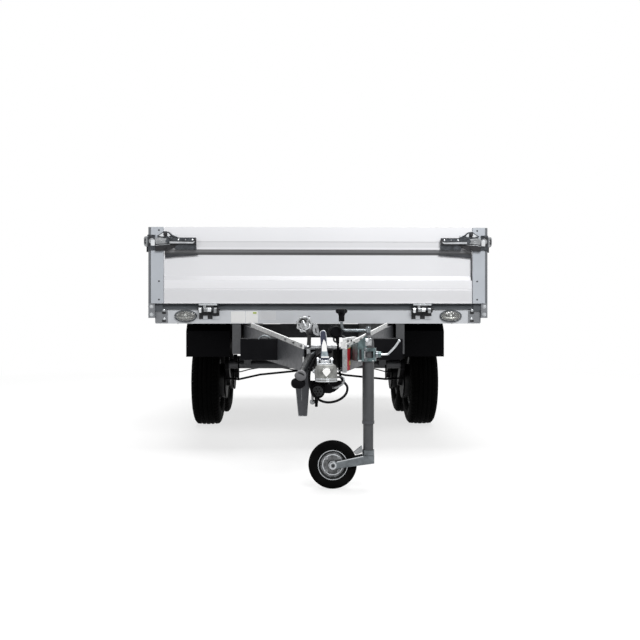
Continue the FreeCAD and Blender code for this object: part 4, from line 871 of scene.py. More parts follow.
class TRAILER_OT_bed_fixings(bpy.types.Operator):
    """Bolts of the posts and brackets with the painted shadows below them, seal strips that are partly
    painted shadow under the boards, dark strips of painted shade at the boards' ends, and the hinges' fine
    pieces
    """
    bl_idname = "trailer.bed_fixings"
    bl_label = "Bed fixings"

    def execute(self, context):
        size = context.scene.trailer.bolt_size / MM
        dark, bright, shadow_spots = [], [], []
        for z in (803, 900, 1169):
            dark += corners(dome_head("post_bolt", (843, 0, z), (0, -1, 0), size / 2, 3))
            dark += corners(dome_head("post_bolt", (900, 58, z), (1, 0, 0), size / 2, 3))
        fixed(dark, "post_bolts", "dark_steel")
        for y, z in ((30, 702), (18, 747)):
            bright += corners(dome_head("plate_bolt", (819, y, z), (0, -1, 0), 8, 5))
        # Dark ovals below the plate bolts, drawn as oval holes: painted shadows of the bolts.
        for z in (690, 732):
            shadow_spots += corners(oval("bolt_shadow_spot", [(12, 6, 0.1), (11, 5, 1.2), (1, 1, 1.3)],
                                  (821, 30, z)))
        for z in (724, 766):
            for head in hex_head("foot_bolt", (883, 8, z), (0, -1, 0), 13, 6):
                bright += corners(head)
            for head in hex_head("foot_bolt", (900, 42, z), (1, 0, 0), 13, 6):
                bright += corners(head)
        fixed(bright, "bracket_bolts", "pale_zinc", smooth=False)
        fixed(shadow_spots, "bracket_bolt_shadows", "dark_steel", smooth=False)
        # Dark rubber seal lips and corner feet: partly real seals, partly the painted shadow that the
        # boards cast on the rails.
        lip = slab("seal_lip", (-828, 828), (20, 33.5), (775, 782.4))
        foot = slab("seal_foot", (826, 866), (18, 33.9), (744, 782.4))
        fixed([lip, at_tail(lip)] + corners(foot), "seal_shadow_lips", "seal", smooth=False)
        # A dark strip at each end of the front and tail boards, in the gap beside the post: painted shade.
        gap = slab("end_gap_shade", (809.5, 814.9), (-0.8, 0.4), (905, 1043))
        for body, strip in (("front_board", gap), ("tail_board", at_tail(gap))):
            finished([strip], body + "_end_gap_shade", body, "dark_steel", smooth=False)
        self.hinges()
        return {"FINISHED"}

    def hinges(self):
        """The hinge pieces at every hinge of the four boards."""
        board, chassis = hinge_meshes()
        for group, fixed in ((board, False), (chassis, True)):
            for finish, meshes in group.items():
                front = [shifted(m, x) for m in meshes for x in END_HINGES]
                right = [side_turned(m, y) for m in meshes for y in SIDE_HINGES]
                placed = {"front_board": front, "tail_board": [at_tail(m) for m in front],
                          "right_board": right, "left_board": [flipped(m) for m in right]}
                for body, pieces in placed.items():
                    owner = "chassis" if fixed else body
                    finished(pieces, body + ("_rail_hinge_" if fixed else "_hinge_") + finish,
                             owner, finish, bevel=0.0006)


# Latches, worked out for the front board's right end and placed round the bed

LATCH_Z = 1110.0
BOARD_END = 815.0


def latch_meshes(end):
    """Fine pieces of one latch by finish: rim of the diamond plate with painted
    highlights on its upper fields and painted shade on its lower field, the lever's
    bands (a dark face of painted shade and a pale lower edge of painted highlight)
    and rivets, a dark plate under the latch that is partly its mount and partly its
    painted shadow on the board, spring and hook's eye.
    end is the board's end, measured outward."""
    def panel(name, outline, y, thick=1.2):
        return plate(name, [(end + u, y, LATCH_Z + v) for u, v in outline], (0, -thick, 0))

    def wire(name, points, y, radius):
        return tube(name, [(end + u, y, LATCH_Z + v) for u, v in points], radius, 8)

    def dome(u, v, y, radius, height):
        return dome_head("rivet", (end + u, y, LATCH_Z + v), (0, -1, 0), radius, height)

    turn = np.linspace(0, 2 * np.pi * 6, 97)
    coil = np.stack([end - 14 - turn * 0.9, -17.5 + 4.5 * np.cos(turn),
                     LATCH_Z + 15 + 4.5 * np.sin(turn)], 1)
    eye = [(8.2, -0.2), (14.4, -0.2), (15, 0.5), (15, 6.5), (14.4, 7.2), (8.2, 7.2)]
    heads = [m for v in (-36, 36)
             for m in hex_head("latch_bolt", (end - 7, -14, LATCH_Z + v), (0, -1, 0), 14, 6)]
    return {
        "latch_steel": [
            wire("rim", [(-70, 20), (-44, 31), (-25, 47), (-10, 50.5), (2, 49), (14, 40), (36, 26)],
                 -9.6, 2.4),
            wire("inner_rim", [(-64, 18), (-34, 28), (-22, 19), (4, 21), (36, 27)], -10, 2.2),
            panel("lever_side", [(-160, -1), (-160, 15), (-34, 15), (-34, -1)], -29.2, 0.4)],
        "polished": [
            panel("spacer_face", [(-66, 16), (-66, 35), (-40, 35), (-40, 16)], -5.2, 0.6),
            # The two windows are painted highlights on the diamond plate's upper fields.
            panel("window", [(-36, 29), (-24, 42), (-15, 43), (-17, 30), (-22, 24)], -9.1),
            panel("window", [(0, 43), (6, 43), (28, 29), (10, 24), (0, 26)], -9.1),
            dome(-152, 6, -29.6, 4.6, 2.5), dome(-79, 6, -29.6, 4.6, 2.5)],
        "pale_zinc": [
            # Pale edge along the lever's lower flange: painted highlight.
            panel("lever_highlight_edge", [(-166, -2), (-150, -6), (-32, -3), (-32, -13.5), (-155, -13.5)],
                  -29, 1.4),
            panel("hook_edge", [(-13, 12), (26, 12), (26, 8.5), (-13, 8.5)], -16.2),
            wire("hook_line", [(-32, -17), (-10, -19), (20, -20), (44, -24)], -16.6, 1.4)],
        "grey_zinc": [
            dome(-116, 6, -29.6, 3.6, 2), dome(12, 1, -16, 4, 2),
            panel("hook_side", [(-18, 12), (-18, -12), (42, -16), (46, 14), (20, 20)], -16.05, 0.3),
            lathe("eye_ring", eye, (end + 63, -9, LATCH_Z), (0, -1, 0), 40)],
        "zinc": [tube("spring", coil, 0.9, 6)],
        "dark_steel": [
            # Dark face of the lever's channel: painted shade.
            panel("lever_channel_shade", [(-169, -15), (-169, 15), (-166, 17.5), (-60, 17.5), (-26, 15),
                                 (-20, 8), (-20, -8), (-26, -13), (-60, -16.5), (-166, -16.5)], -26, 3),
            # Dark lower field of the diamond plate: painted shade.
            panel("lower_shade_field", [(-78, -17), (-26, -48), (-8, -50), (30, -52), (44, -54),
                                  (44, -17)], -14.2)] + heads,
        "shaded_plate": [
            # Dark plate on the slope below the latch: partly its mount, partly its painted shadow.
            panel("latch_shadow_plate", [(-178, -67), (-178, -73), (-120, -77), (-60, -80.5), (-12, -86.5),
                              (-5, -86), (-5, -67)], 0.2, 2.2)]}


class TRAILER_OT_latches(bpy.types.Operator):
    """Fine pieces of the eight board latches and of their studs"""
    bl_idname = "trailer.latches"
    bl_label = "Latches"

    def execute(self, context):
        for finish, meshes in latch_meshes(BOARD_END).items():
            front = [m for mesh in meshes for m in both(mesh)]
            side = []
            for mesh in latch_meshes(0.0)[finish]:
                rear = side_turned(mesh, 3015)
                side += [rear, at_tail(rear)]
            placed = {"front_board": front, "tail_board": [at_tail(m) for m in front],
                      "right_board": side, "left_board": [flipped(m) for m in side]}
            for body, pieces in placed.items():
                finished(pieces, body + "_latch_" + finish, body, finish)
        self.studs()
        return {"FINISHED"}

    def studs(self):
        """Blocks and nuts on the posts, dark sheets of painted shade in the gaps beside them, and the
        rounded ends of the side boards' hooks with painted shade in their holes.
        """
        block = slab("stud_block", (861, 882), (-22.5, -16.4), (LATCH_Z - 25, LATCH_Z + 7))
        fixed(corners(block), "stud_blocks", "polished", smooth=False, bevel=0.002)
        # A dark sheet in the gap beside each stud: painted shade.
        gap = slab("stud_gap_shade", (883, 895), (-5.5, -3.3), (LATCH_Z - 24, LATCH_Z + 26))
        fixed(corners(gap), "stud_gaps", "dark_steel", smooth=False, bevel=0.001)
        nuts = []
        for head in hex_head("stud_nut", (916.4, 22, LATCH_Z), (1, 0, 0), 13, 6):
            nuts += corners(head)
        strap = [(862.5, -3.2, 1063), (862.5, -3.2, 1143), (884.5, -3.2, 1143), (884.5, -3.2, 1063)]
        nuts += corners(tube("strap_edge", strap + strap[:1], 1.1, 8))
        fixed(nuts, "stud_nuts", "zinc", smooth=False)
        outline = [(903, 27), (910, 29), (921, 25), (924, 16), (924, -12), (920, -24), (910, -29),
                   (903, -27)]
        hook = plate("hook_end", [(x, 12, LATCH_Z + v) for x, v in outline], (0, -4, 0))
        # A dark oval in the hook's hole: painted shade.
        hole = oval("hook_hole_shade", [(4.5, 16, 0.1), (4.5, 16, 0.8)], (916.5, 8, LATCH_Z + 1))
        for mesh, finish, bevel in ((hook, "grey_zinc", 0.003), (hole, "dark_steel", 0.0)):
            right = [mesh, at_tail(mesh)]
            finished(right, "right_board_hook_" + finish, "right_board", finish, bevel=bevel)
            finished([flipped(m) for m in right], "left_board_hook_" + finish, "left_board", finish,
                     bevel=bevel)


# Lamps

def oval(name, rows, centre, along=(0, -1, 0), steps=72):
    """Rows of (half width, half height, distance) as ellipses across the axis."""
    rows = np.asarray(rows, float)
    t = np.linspace(0, 2 * np.pi, steps, endpoint=False)
    along = np.asarray(along, float)
    side, up = np.array([1.0, 0, 0]), np.array([0, 0, 1.0])
    points = (np.asarray(centre) + rows[:, 2][:, None, None] * along
              + rows[:, 0][:, None, None] * np.cos(t)[None, :, None] * side
              + rows[:, 1][:, None, None] * np.sin(t)[None, :, None] * up)
    return skin(name, points, close_v=True)


class TRAILER_OT_front_lamps(bpy.types.Operator):
    """Oval lamps: grey housing, ringed reflector, bulb and clear lens"""
    bl_idname = "trailer.front_lamps"
    bl_label = "Front lamps"

    def execute(self, context):
        centre = (707.0, 34.0, 716.0)
        housing = oval("housing", [(40, 18, 3), (50, 25, 9), (53, 27, 12), (57, 31, 12), (59, 33, 9),
                                   (59, 33, 0.2), (30, 12, 0.2)], centre)
        fixed(both(housing), "lamp_housings", "seal", replaces=("front_lamps",))
        k = np.linspace(1, 0.12, 26)
        bowl = np.stack([50 * k, 24.5 * k, 4 + 6 * k ** 2 + 0.9 * np.cos(k * 34)], 1)
        bowl = np.vstack([bowl, [(4, 3, 6), (0.5, 0.4, 6)]])
        fixed(both(oval("bowl", bowl, centre)), "lamp_reflectors", "chrome")
        arc = np.radians(np.linspace(182, 358, 33))
        rows = []
        for reach, drop, depth in ((46, 2, 9.5), (45, 8, 13), (42, 14, 13), (40, 16, 9.5)):
            rows.append(np.stack([centre[0] + reach * np.cos(arc), np.full(33, centre[1] - depth),
                                  centre[2] - 2 + drop * np.sin(arc)], 1))
        rings = [skin("arc", rows, close_u=True)]
        rings.append(tube("upper_arc", [(centre[0] - 20, 23, 724), (centre[0] - 8, 22, 733),
                                        (centre[0] + 4, 22, 733)], 2.2, 10, 4))
        fixed([m for ring in rings for m in both(ring)], "lamp_rings", "ring_chrome")
        bulb = np.radians(np.linspace(-80, 88, 12))
        profile = np.stack([7.5 * np.cos(bulb), 11 + 6 * np.sin(bulb)], 1)
        glass = lathe("bulb", profile, (centre[0], centre[1], centre[2] + 5), (0, -1, 0), 24)
        fixed(both(glass), "lamp_bulbs", "paper")
        k = np.linspace(1, 0.02, 20)
        outer = np.stack([53.5 * k, 27.5 * k, 12.2 + 7.4 * np.sqrt(np.clip(1 - k ** 2.4, 0, 1))], 1)
        inner = (outer * (0.965, 0.94, 1) - (0, 0, 1.6))[::-1]
        lens = oval("lens", np.vstack([inner, outer]), centre)
        fixed(both(lens), "lamp_lenses", "lens_clear")
        return {"FINISHED"}


class TRAILER_OT_rear_lamps(bpy.types.Operator):
    """Lamp clusters in three colours, blank number plate and reflectors"""
    bl_idname = "trailer.rear_lamps"
    bl_label = "Rear lamps"

    def execute(self, context):
        y = 3000.0
        segments = (("lens_amber", 704, 777), ("lens_red", 634, 702), ("lens_pale", 583, 632))
        for finish, x0, x1 in segments:
            rows = []
            for lean, depth in ((0.0, 14), (0.0, 27), (2.2, 30.5), (5.0, 31.6)):
                rows.append([(x0 + lean, y + depth, 558 + lean), (x1 - lean, y + depth, 558 + lean),
                             (x1 - lean, y + depth, 645 - lean), (x0 + lean, y + depth, 645 - lean)])
            fixed(both(skin("segment", rows, close_v=True)), "rear_" + finish, finish,
                  smooth=False, bevel=0.0008)
        back = slab("lamp_back", (579, 781), (y, y + 26), (554, 649))
        fixed(both(back), "rear_lamp_backs", "plastic", smooth=False, bevel=0.003,
              replaces=("rear_lamps",))
        sheet = slab("number_sheet", (-260, 260), (y + 1.5, y + 4), (546, 657))
        fixed([sheet], "blank_number_plate", "pale_plate", smooth=False, bevel=0.001)
        frame_bar = [slab("plate_frame", (-266, 266), (y, y + 6), z) for z in ((540, 547), (656, 662))]
        fixed(frame_bar, "number_plate_frame", "plastic", smooth=False, bevel=0.001)
        bolts = []
        for x in (-200, 200):
            bolts.append(dome_head("plate_screw", (x, y + 4, 602), (0, 1, 0), 5, 2.5))
        fixed(bolts, "number_plate_screws", "zinc")
        reflector = [(20, 0.2), (34, 0.2), (36, 2), (36, 7), (33, 9), (2, 9.6)]
        marks = [lathe("side_reflector", reflector, (866, place, 706), (1, 0, 0), 40)
                 for place in (900, 2300)]
        fixed([m for mesh in marks for m in both(mesh)], "side_reflectors", "lens_amber")
        return {"FINISHED"}


class TRAILER_OT_blank_labels(bpy.types.Operator):
    """Blank stickers on the front rail and on the right drawbar arm"""
    bl_idname = "trailer.blank_labels"
    bl_label = "Blank labels"

    def execute(self, context):
        face = 34.0
        labels = (("rail_label_large", "paper", (-466, -391), (680, 741), 0.5),
                  ("rail_label_side", "paper", (-388, -324), (680, 741), 0.5),
                  ("rail_label_mark", "green_patch", (-350, -331), (728, 737), 0.8),
                  ("rail_label_small", "pale_plate", (-314, -228), (694, 741), 0.5))
        for name, finish, x, z, proud in labels:
            fixed([slab(name, x, (face - proud, face), z)], name, finish, smooth=False)
        run, rise = 1170.0, 341.4
        along = np.array([rise, run, 0.0]) / math.hypot(run, rise)
        out = np.array([run, -rise, 0.0]) / math.hypot(run, rise)
        start = np.array([90.0, -1000.0, 0.0]) + along * 8 + out * 0.1
        for name, finish, span, z in (("arm_sticker", "red_patch", (4, 60), (486, 578)),
                                      ("arm_sticker_band", "yellow_patch", (0, 60), (576, 582)),
                                      ("arm_sticker_mark", "yellow_patch", (40, 64), (506, 524)),
                                      ("arm_sticker_edge", "pale_plate", (-4, 3), (486, 580))):
            proud = 0.0 if finish == "red_patch" else 0.3
            low, high = (start + along * reach + out * proud for reach in span)
            outline = [(low[0], low[1], z[0]), (high[0], high[1], z[0]), (high[0], high[1], z[1]),
                       (low[0], low[1], z[1])]
            fixed([plate(name, outline, out * 0.3)], name, finish, smooth=False)
        return {"FINISHED"}


# Coupling and drawbar

def superellipse(half_width, half_height, power, steps=48):
    """Points (u, v) with |u/a|^n + |v/b|^n = 1."""
    t = np.linspace(0, 2 * np.pi, steps, endpoint=False)
    c, s = np.cos(t), np.sin(t)
    return np.stack([half_width * np.sign(c) * np.abs(c) ** (2 / power),
                     half_height * np.sign(s) * np.abs(s) ** (2 / power)], 1)


def loft_along_y(name, sections, x=0.0):
    """Sections of (y, half width, half height, middle height, power), each a superellipse."""
    rows = []
    for y, a, b, z, power in sections:
        outline = superellipse(a, b, power)
        rows.append(np.stack([x + outline[:, 0], np.full(len(outline), y), z + outline[:, 1]], 1))
    return skin(name, rows, close_v=True)


class TRAILER_OT_coupling(bpy.types.Operator):
    """Cast head with its socket, lugs and handle, and the bellows behind it"""
    bl_idname = "trailer.coupling"
    bl_label = "Coupling"

    def execute(self, context):
        ball = np.radians(np.linspace(89, 0, 14))
        inside = list(zip(25.3 * np.cos(ball), 474 + 25.3 * np.sin(ball)))
        outside = [(25.3, 455), (27, 454), (42, 454), (43, 455), (43.2, 463), (43.4, 472), (43.4, 486),
                   (43.2, 501), (42.6, 506), (41.2, 511), (38.2, 516), (35.4, 519), (32, 521), (0.3, 521)]
        head = lathe("head", inside + outside, (0, -1180, 0), (0, 0, 1), 96)
        neck = loft_along_y("neck", [(-1180, 20, 14, 492, 3), (-1150, 25, 24, 494, 4),
                                     (-1128, 26, 26, 494, 5), (-1108, 26, 25, 493, 5),
                                     (-1105, 25, 24, 493, 4)])
        shaft = lathe("shaft", [(25, 0), (25, 95)], (0, -1106, 490), (0, 1, 0), 48)
        fixed([head, neck, shaft], "coupling_head_cast", "head_zinc", bevel=0.0012,
              replaces=("coupling_head",))
        bands = [lathe("band", [(42, low), (44.3, low + 0.8), (44.3, high - 0.8), (42, high)],
                       (0, -1180, 0), (0, 0, 1), 96, ring=True)
                 for low, high in ((455, 460.5), (463.5, 469))]
        t = np.linspace(0, np.pi, 13)
        lug = [(-20, -20)] + [(20 * math.cos(a), -2 + 12 * math.sin(a)) for a in np.pi - t] + [(20, -20)]
        for x in (-35, 19.5):
            bands.append(plate("lug", [(x, -1141 + u, 538 + v) for u, v in lug], (7, 0, 0)))
        collar = [(20, 519), (32.5, 519), (33, 520), (33, 525), (32, 526.5), (0.3, 527)]
        bands.append(lathe("collar", collar, (-3.5, -1172, 0), (0, 0, 1), 64))
        bands.append(lathe("inner_collar", [(18, 526), (18.5, 527), (18.5, 536), (17, 538), (0.3, 538)],
                           (-3.5, -1168, 0), (0, 0, 1), 48))
        fixed(bands, "coupling_bands", "pale_zinc", bevel=0.0006)
        # A bright white patch on the head's front: painted highlight.
        highlight_patch = [(-10, 507), (11, 507), (16.5, 496), (13, 489), (1, 476.5), (-2, 476.5), (-12, 489),
                 (-15.5, 496)]
        fixed([upright("highlight_patch", highlight_patch, -1224.3, 6)], "coupling_painted_glint", "highlight_patch", smooth=False, bevel=0.0015)
        pins = [lathe("lug_pin", [(5, -35), (5, 30)], (0, -1141, 538), (1, 0, 0), 20)]
        pins += hex_head("cross_bolt", (-43, -1160, 493), (-1, 0, 0), 13, 9)
        pins.append(tube("spring_clip", [(34, -1166, 511), (43, -1166, 503), (52, -1166, 494)], 2.4, 10))
        fixed(pins, "coupling_pins", "grey_zinc", smooth=False)
        self.handle()
        d = np.linspace(0, 90, 91)
        folds = np.stack([34 + 4 * np.cos(2 * np.pi * d / 12.9), d], 1)
        folds = np.vstack([[(25.1, 0), (31, 0)], folds[2:-2], [(31, 90), (25.1, 90)]])
        bellows = lathe("bellows", folds, (0, -1100, 490), (0, 1, 0), 64, ring=True)
        fixed([bellows], "coupling_bellows_soft", "rubber",
              replaces=("coupling_bellows",))
        return {"FINISHED"}

    def handle(self):
        """Tapered lever: a dark blue body of painted reflection, painted highlights along its rim and up
        its middle, and a pale lower part of painted light.
        """
        edge = [(-22, 521), (-20.6, 547), (-19.4, 561), (-18.8, 579), (-19.9, 596), (-20.6, 614),
                (-22, 632), (-21.6, 645), (-18.5, 650.5), (-13, 653), (-7.5, 653), (-2.5, 650.5),
                (0, 645), (1.8, 632), (3.6, 614), (4.8, 596), (7.1, 579), (10.7, 561), (14.2, 547),
                (15, 521)]
        body = upright("handle", edge, -1146, 22)
        fixed([body], "coupling_lever", "zinc_blue", smooth=False, bevel=0.003,
              replaces=("coupling_handle",))
        # A pale line along the lever's top edge: painted highlight.
        rim = [(x, -1145.6, z) for x, z in edge[6:15]]
        fixed([tube("handle_rim", rim, 1.7, 10)], "coupling_lever_rim", "pale_zinc")
        # White wedge up the middle and a white line across: painted highlights.
        ridge = [(-15.6, 571), (-15.8, 593), (-12.3, 607), (-8, 619), (-1, 609), (3.4, 593), (5.2, 571)]
        line = [(-18, 546), (13, 546), (12, 551), (-17.5, 551)]
        fixed([upright("handle_highlight_wedge", ridge, -1146.8, 1.2), upright("handle_highlight_line", line, -1147, 1.2)],
              "coupling_lever_highlights", "highlight_patch", smooth=False)
        # Pale lower part of the lever: painted light.
        low = [(-17.5, 551), (-15.6, 571), (5.2, 571), (11, 551)]
        fixed([upright("handle_foot", low, -1146.6, 0.8)],
              "coupling_lever_foot", "pale_blue", smooth=False)
        base = [(-21, 522), (-20.5, 537), (14, 537), (15, 522)]
        fixed([upright("handle_base", base, -1148, 3)],
              "coupling_lever_base", "cast_zinc", smooth=False, bevel=0.001)


# Sideways and upward run of the drawbar arms' top edge for each millimetre along Y
ARM_SPREAD = 0.2918
ARM_RISE = 0.093


class TRAILER_OT_drawbar(bpy.types.Operator):
    """Cast cap, strips and plates at the arms' front ends"""
    bl_idname = "trailer.drawbar"
    bl_label = "Drawbar"

    def execute(self, context):
        self.cap()
        self.hung()
        for side in (-1, 1):
            def arm(t, z):
                return (side * (91.5 + ARM_SPREAD * t), -1000 + t, z + ARM_RISE * t)
            # A pale strip along each arm's top edge, where the galvanised arm is lit from above: painted
            # light.
            strip = [arm(0, 575), arm(900, 575), arm(900, 597), arm(0, 597)]
            name = "arm_strip_" + ("right" if side > 0 else "left")
            fixed([plate(name, strip, (-side * 7, 0, 0))], name, "flange_zinc",
                  smooth=False, bevel=0.001)
            dots = []
            for t in (18, 130, 260):
                x, y, z = arm(t, 587)
                dots.append(slab("dot", (x - 5, x + 5), (y - 14, y + 12), (z - 3.5, z + 3)))
            fixed(dots, name + "_marks", "lamp_grey", smooth=False)
        fin = [(89, -1000, 582), (89, -1000, 620), (140, -825, 623), (140, -825, 600)]
        fixed([plate("arm_bracket", fin, (-14, 0, 0)),
               slab("bracket_front", (66, 88), (-1001.5, -999), (577, 606))], "arm_bracket",
              "flange_zinc", smooth=False, bevel=0.001)
        bolts = [dome_head("bracket_bolt", (89.5 + ARM_SPREAD * t, -1000 + t, 607),
                           (0.956, -0.292, 0), 6.5, 4) for t in (25, 88)]
        fixed(bolts, "arm_bracket_bolts", "dark_steel")
        for side, finish, x, z in (("right", "grey_zinc", (73, 91), (478, 576)),
                                   ("left", "flange_zinc", (-91, -85), (508, 544))):
            fixed([slab("arm_end", x, (-1002, -999), z)], "arm_end_" + side, finish,
                  smooth=False, bevel=0.0006)
        cross = [slab("cross_strip", (-63, 52), (-973, -970), (577, 590)),
                 slab("cross_foot", (-36, 36), (-972, -969.9), (568, 577))]
        fixed(cross[:1], "cross_strip", "cast_zinc", smooth=False, bevel=0.001)
        fixed(cross[1:], "cross_foot", "dark_steel", smooth=False)
        guard = [(-62, 446), (-62, 424), (-52, 404), (-34, 394), (22, 394), (40, 400), (56, 412),
                 (68, 428), (74, 446)]
        fixed([upright("stone_guard", guard, -1008, 6),
               slab("guard_arm", (-30, 30), (-1006, -985), (438, 452))], "stone_guard",
              "plastic", smooth=False, bevel=0.002)
        return {"FINISHED"}

    def hung(self):
        """Painted highlights along the support bracket's rim and crease, a stub and a knob under the
        parking socket, and the clip on the left chock."""
        rim = [(-119, -992.6, 420), (-107.6, -992.6, 303), (-105, -992.6, 299), (-75, -992.6, 299),
               (-72.4, -992.6, 303), (-70, -992.6, 335)]
        crease = [(-94, -992.2, 432), (-94.6, -992.2, 362)]
        fixed([tube("rim", rim, 1.6, 10), tube("crease", crease, 1.2, 8)], "bracket_rim_highlight",
              "grey_zinc")
        knob = np.vstack([ball_profile(11, -88, 60, 12), [(5, 14), (5, 34)]])
        fixed([lathe("socket_knob", knob, (-51, -1046, 362), (0, 0, 1), 32)], "socket_knob",
              "grey_zinc")
        stub = lathe("socket_stub", [(4.5, 0), (6, 1.5), (6, 16), (7.5, 17), (7.5, 44)],
                     (-35, -1046, 342), (0, 0, 1), 24)
        fixed([stub], "socket_stub", "plastic")
        clip = [(-291, -588, 606), (-282, -588, 617), (-264, -588, 623), (-246, -588, 618),
                (-236, -588, 606)]
        fixed([tube("clip", clip, 3.6, 12, 4)], "chock_clip", "zinc")

    def cap(self):
        """Cup with a notched rim on a dark stalk: the rim's radius is a square wave."""
        centre = (-83, -975, 677)
        cup = [(4, -28), (24, -28), (31, -16), (32.5, -4), (32.5, 18), (31, 26), (26, 26), (23, 15),
               (0.4, 15)]

        def teeth(angle, d):
            return 2.8 * np.sign(np.sin(9 * angle + 0.5)) * (d > -6) * (d < 25)

        light = [lathe("cap", cup, centre, (0, -1, 0), 144, teeth)]
        flange = [(-46, 684), (-36, 681), (-28, 674), (-24, 656), (-21, 635), (-26.5, 628), (-44, 636),
                  (-51, 656)]
        light.append(upright("cap_flange", flange, -985, 9))
        light.append(tube("cap_post", [(-66, -1004, 577), (-66, -1004, 533)], (9, 8), 20))
        fixed(light, "cast_cap_rim", "cast_zinc", bevel=0.0008, replaces=("cast_cap",))
        turn = np.radians(np.linspace(200, -12, 19))
        arc = np.stack([-89 + 12 * np.cos(turn), np.full(19, -1001.0), 686 + 12 * np.sin(turn)], 1)
        # A dark arc on the cup's face: painted shade in its recess.
        dark = [tube("cap_recess_shade", arc, 3.3, 10),
                tube("cap_peg", [(-64, -1004, 712), (-64, -1004, 708)], 4.4, 16),
                tube("cap_mark", [(-37, -986, 660), (-36, -986, 650), (-33, -986, 642)], 2.2, 8)]
        dark.append(lathe("cap_ball", ball_profile(14, steps=15), (-63, -1000, 646), (0, 0, 1), 40))
        stalk = [(-63, -998, 640), (-64, -994, 612), (-65, -990, 582)]
        dark.append(tube("cap_stalk", stalk, (9, 8, 9), 20))
        fixed(dark, "cast_cap_stalk", "dark_casting")
        bright = [tube("cap_screw", [(-89, -1001, 693), (-84, -1003, 682), (-78, -1003, 671)], 3.8, 10, 4),
                  tube("cap_spiral", [(-62, -1001, 679), (-61, -1003, 669), (-67, -1003, 660),
                                      (-76, -1002, 657)], 3.2, 10, 4)]
        bright.append(lathe("cap_stud", ball_profile(5.5, steps=11), (-68.5, -1004, 587),
                            (0, 0, 1), 24))
        fixed(bright, "cast_cap_bright", "polished")


class TRAILER_OT_handbrake(bpy.types.Operator):
    """Brake lever with its ribbed grip, round end and ring"""
    bl_idname = "trailer.handbrake"
    bl_label = "Handbrake"

    def execute(self, context):
        root, mid = np.array([-30.0, -900.0, 559.0]), np.array([-62.0, -1010.0, 545.0])
        tip = np.array([-100.0, -1100.0, 472.0])
        run = tip - mid
        length = np.linalg.norm(run)
        along = run / length
        shaft = tube("shaft", [root, (root + mid) / 2, mid, mid + along * 18], 9.5, 16)
        fixed([shaft], "handbrake_shaft", "zinc", replaces=("handbrake_lever",))
        d = np.linspace(-6, length, 70)
        ripple = 13.6 + 0.35 * np.cos(2 * np.pi * d / 17) * (d > 12)
        ripple[0], ripple[-1] = 12.0, 14.5
        ring = [(16, length - 3), (21, length - 1), (23, length + 3), (23, length + 6), (20, length + 8)]
        grip = [lathe("grip", np.stack([ripple, d], 1), mid, along, 40),
                lathe("grip_ring", ring, mid, along, 48)]
        fixed(grip, "handbrake_grip", "grip")
        end = np.vstack([[(19, -12), (21.6, -8)], dome_profile(22.3, 4)])
        fixed([lathe("grip_end", end, tip + (1, -12, 1), (-0.12, -0.97, -0.2), 48)],
              "handbrake_button", "button_grey")
        guard = loft_along_y("guard", [(-1106, 3, 3, 441, 2.4), (-1104, 20, 15, 441, 2.2),
                                       (-1100, 26, 20, 441, 2.3), (-1090, 29, 22, 441, 2.4),
                                       (-1076, 26, 20, 443, 2.4), (-1066, 18, 13, 446, 2.3)], -109)
        fixed([guard], "handbrake_guard", "plastic")
        return {"FINISHED"}


CABLE_POINTS = [(22, -978, 566), (12, -1018, 572), (-24, -1056, 560), (-54, -1078, 523),
                (-66, -1085, 474), (-62, -1087, 424), (-40, -1089, 382), (0, -1091, 362),
                (48, -1089, 368), (84, -1078, 392), (94, -1045, 422), (82, -1000, 436),
                (66, -960, 458), (62, -946, 503), (60, -946, 555), (56, -950, 606)]
CABLE_DIAMETER = 0.010
PLUG_PLACE = (48.0, -930.0, 647.0)


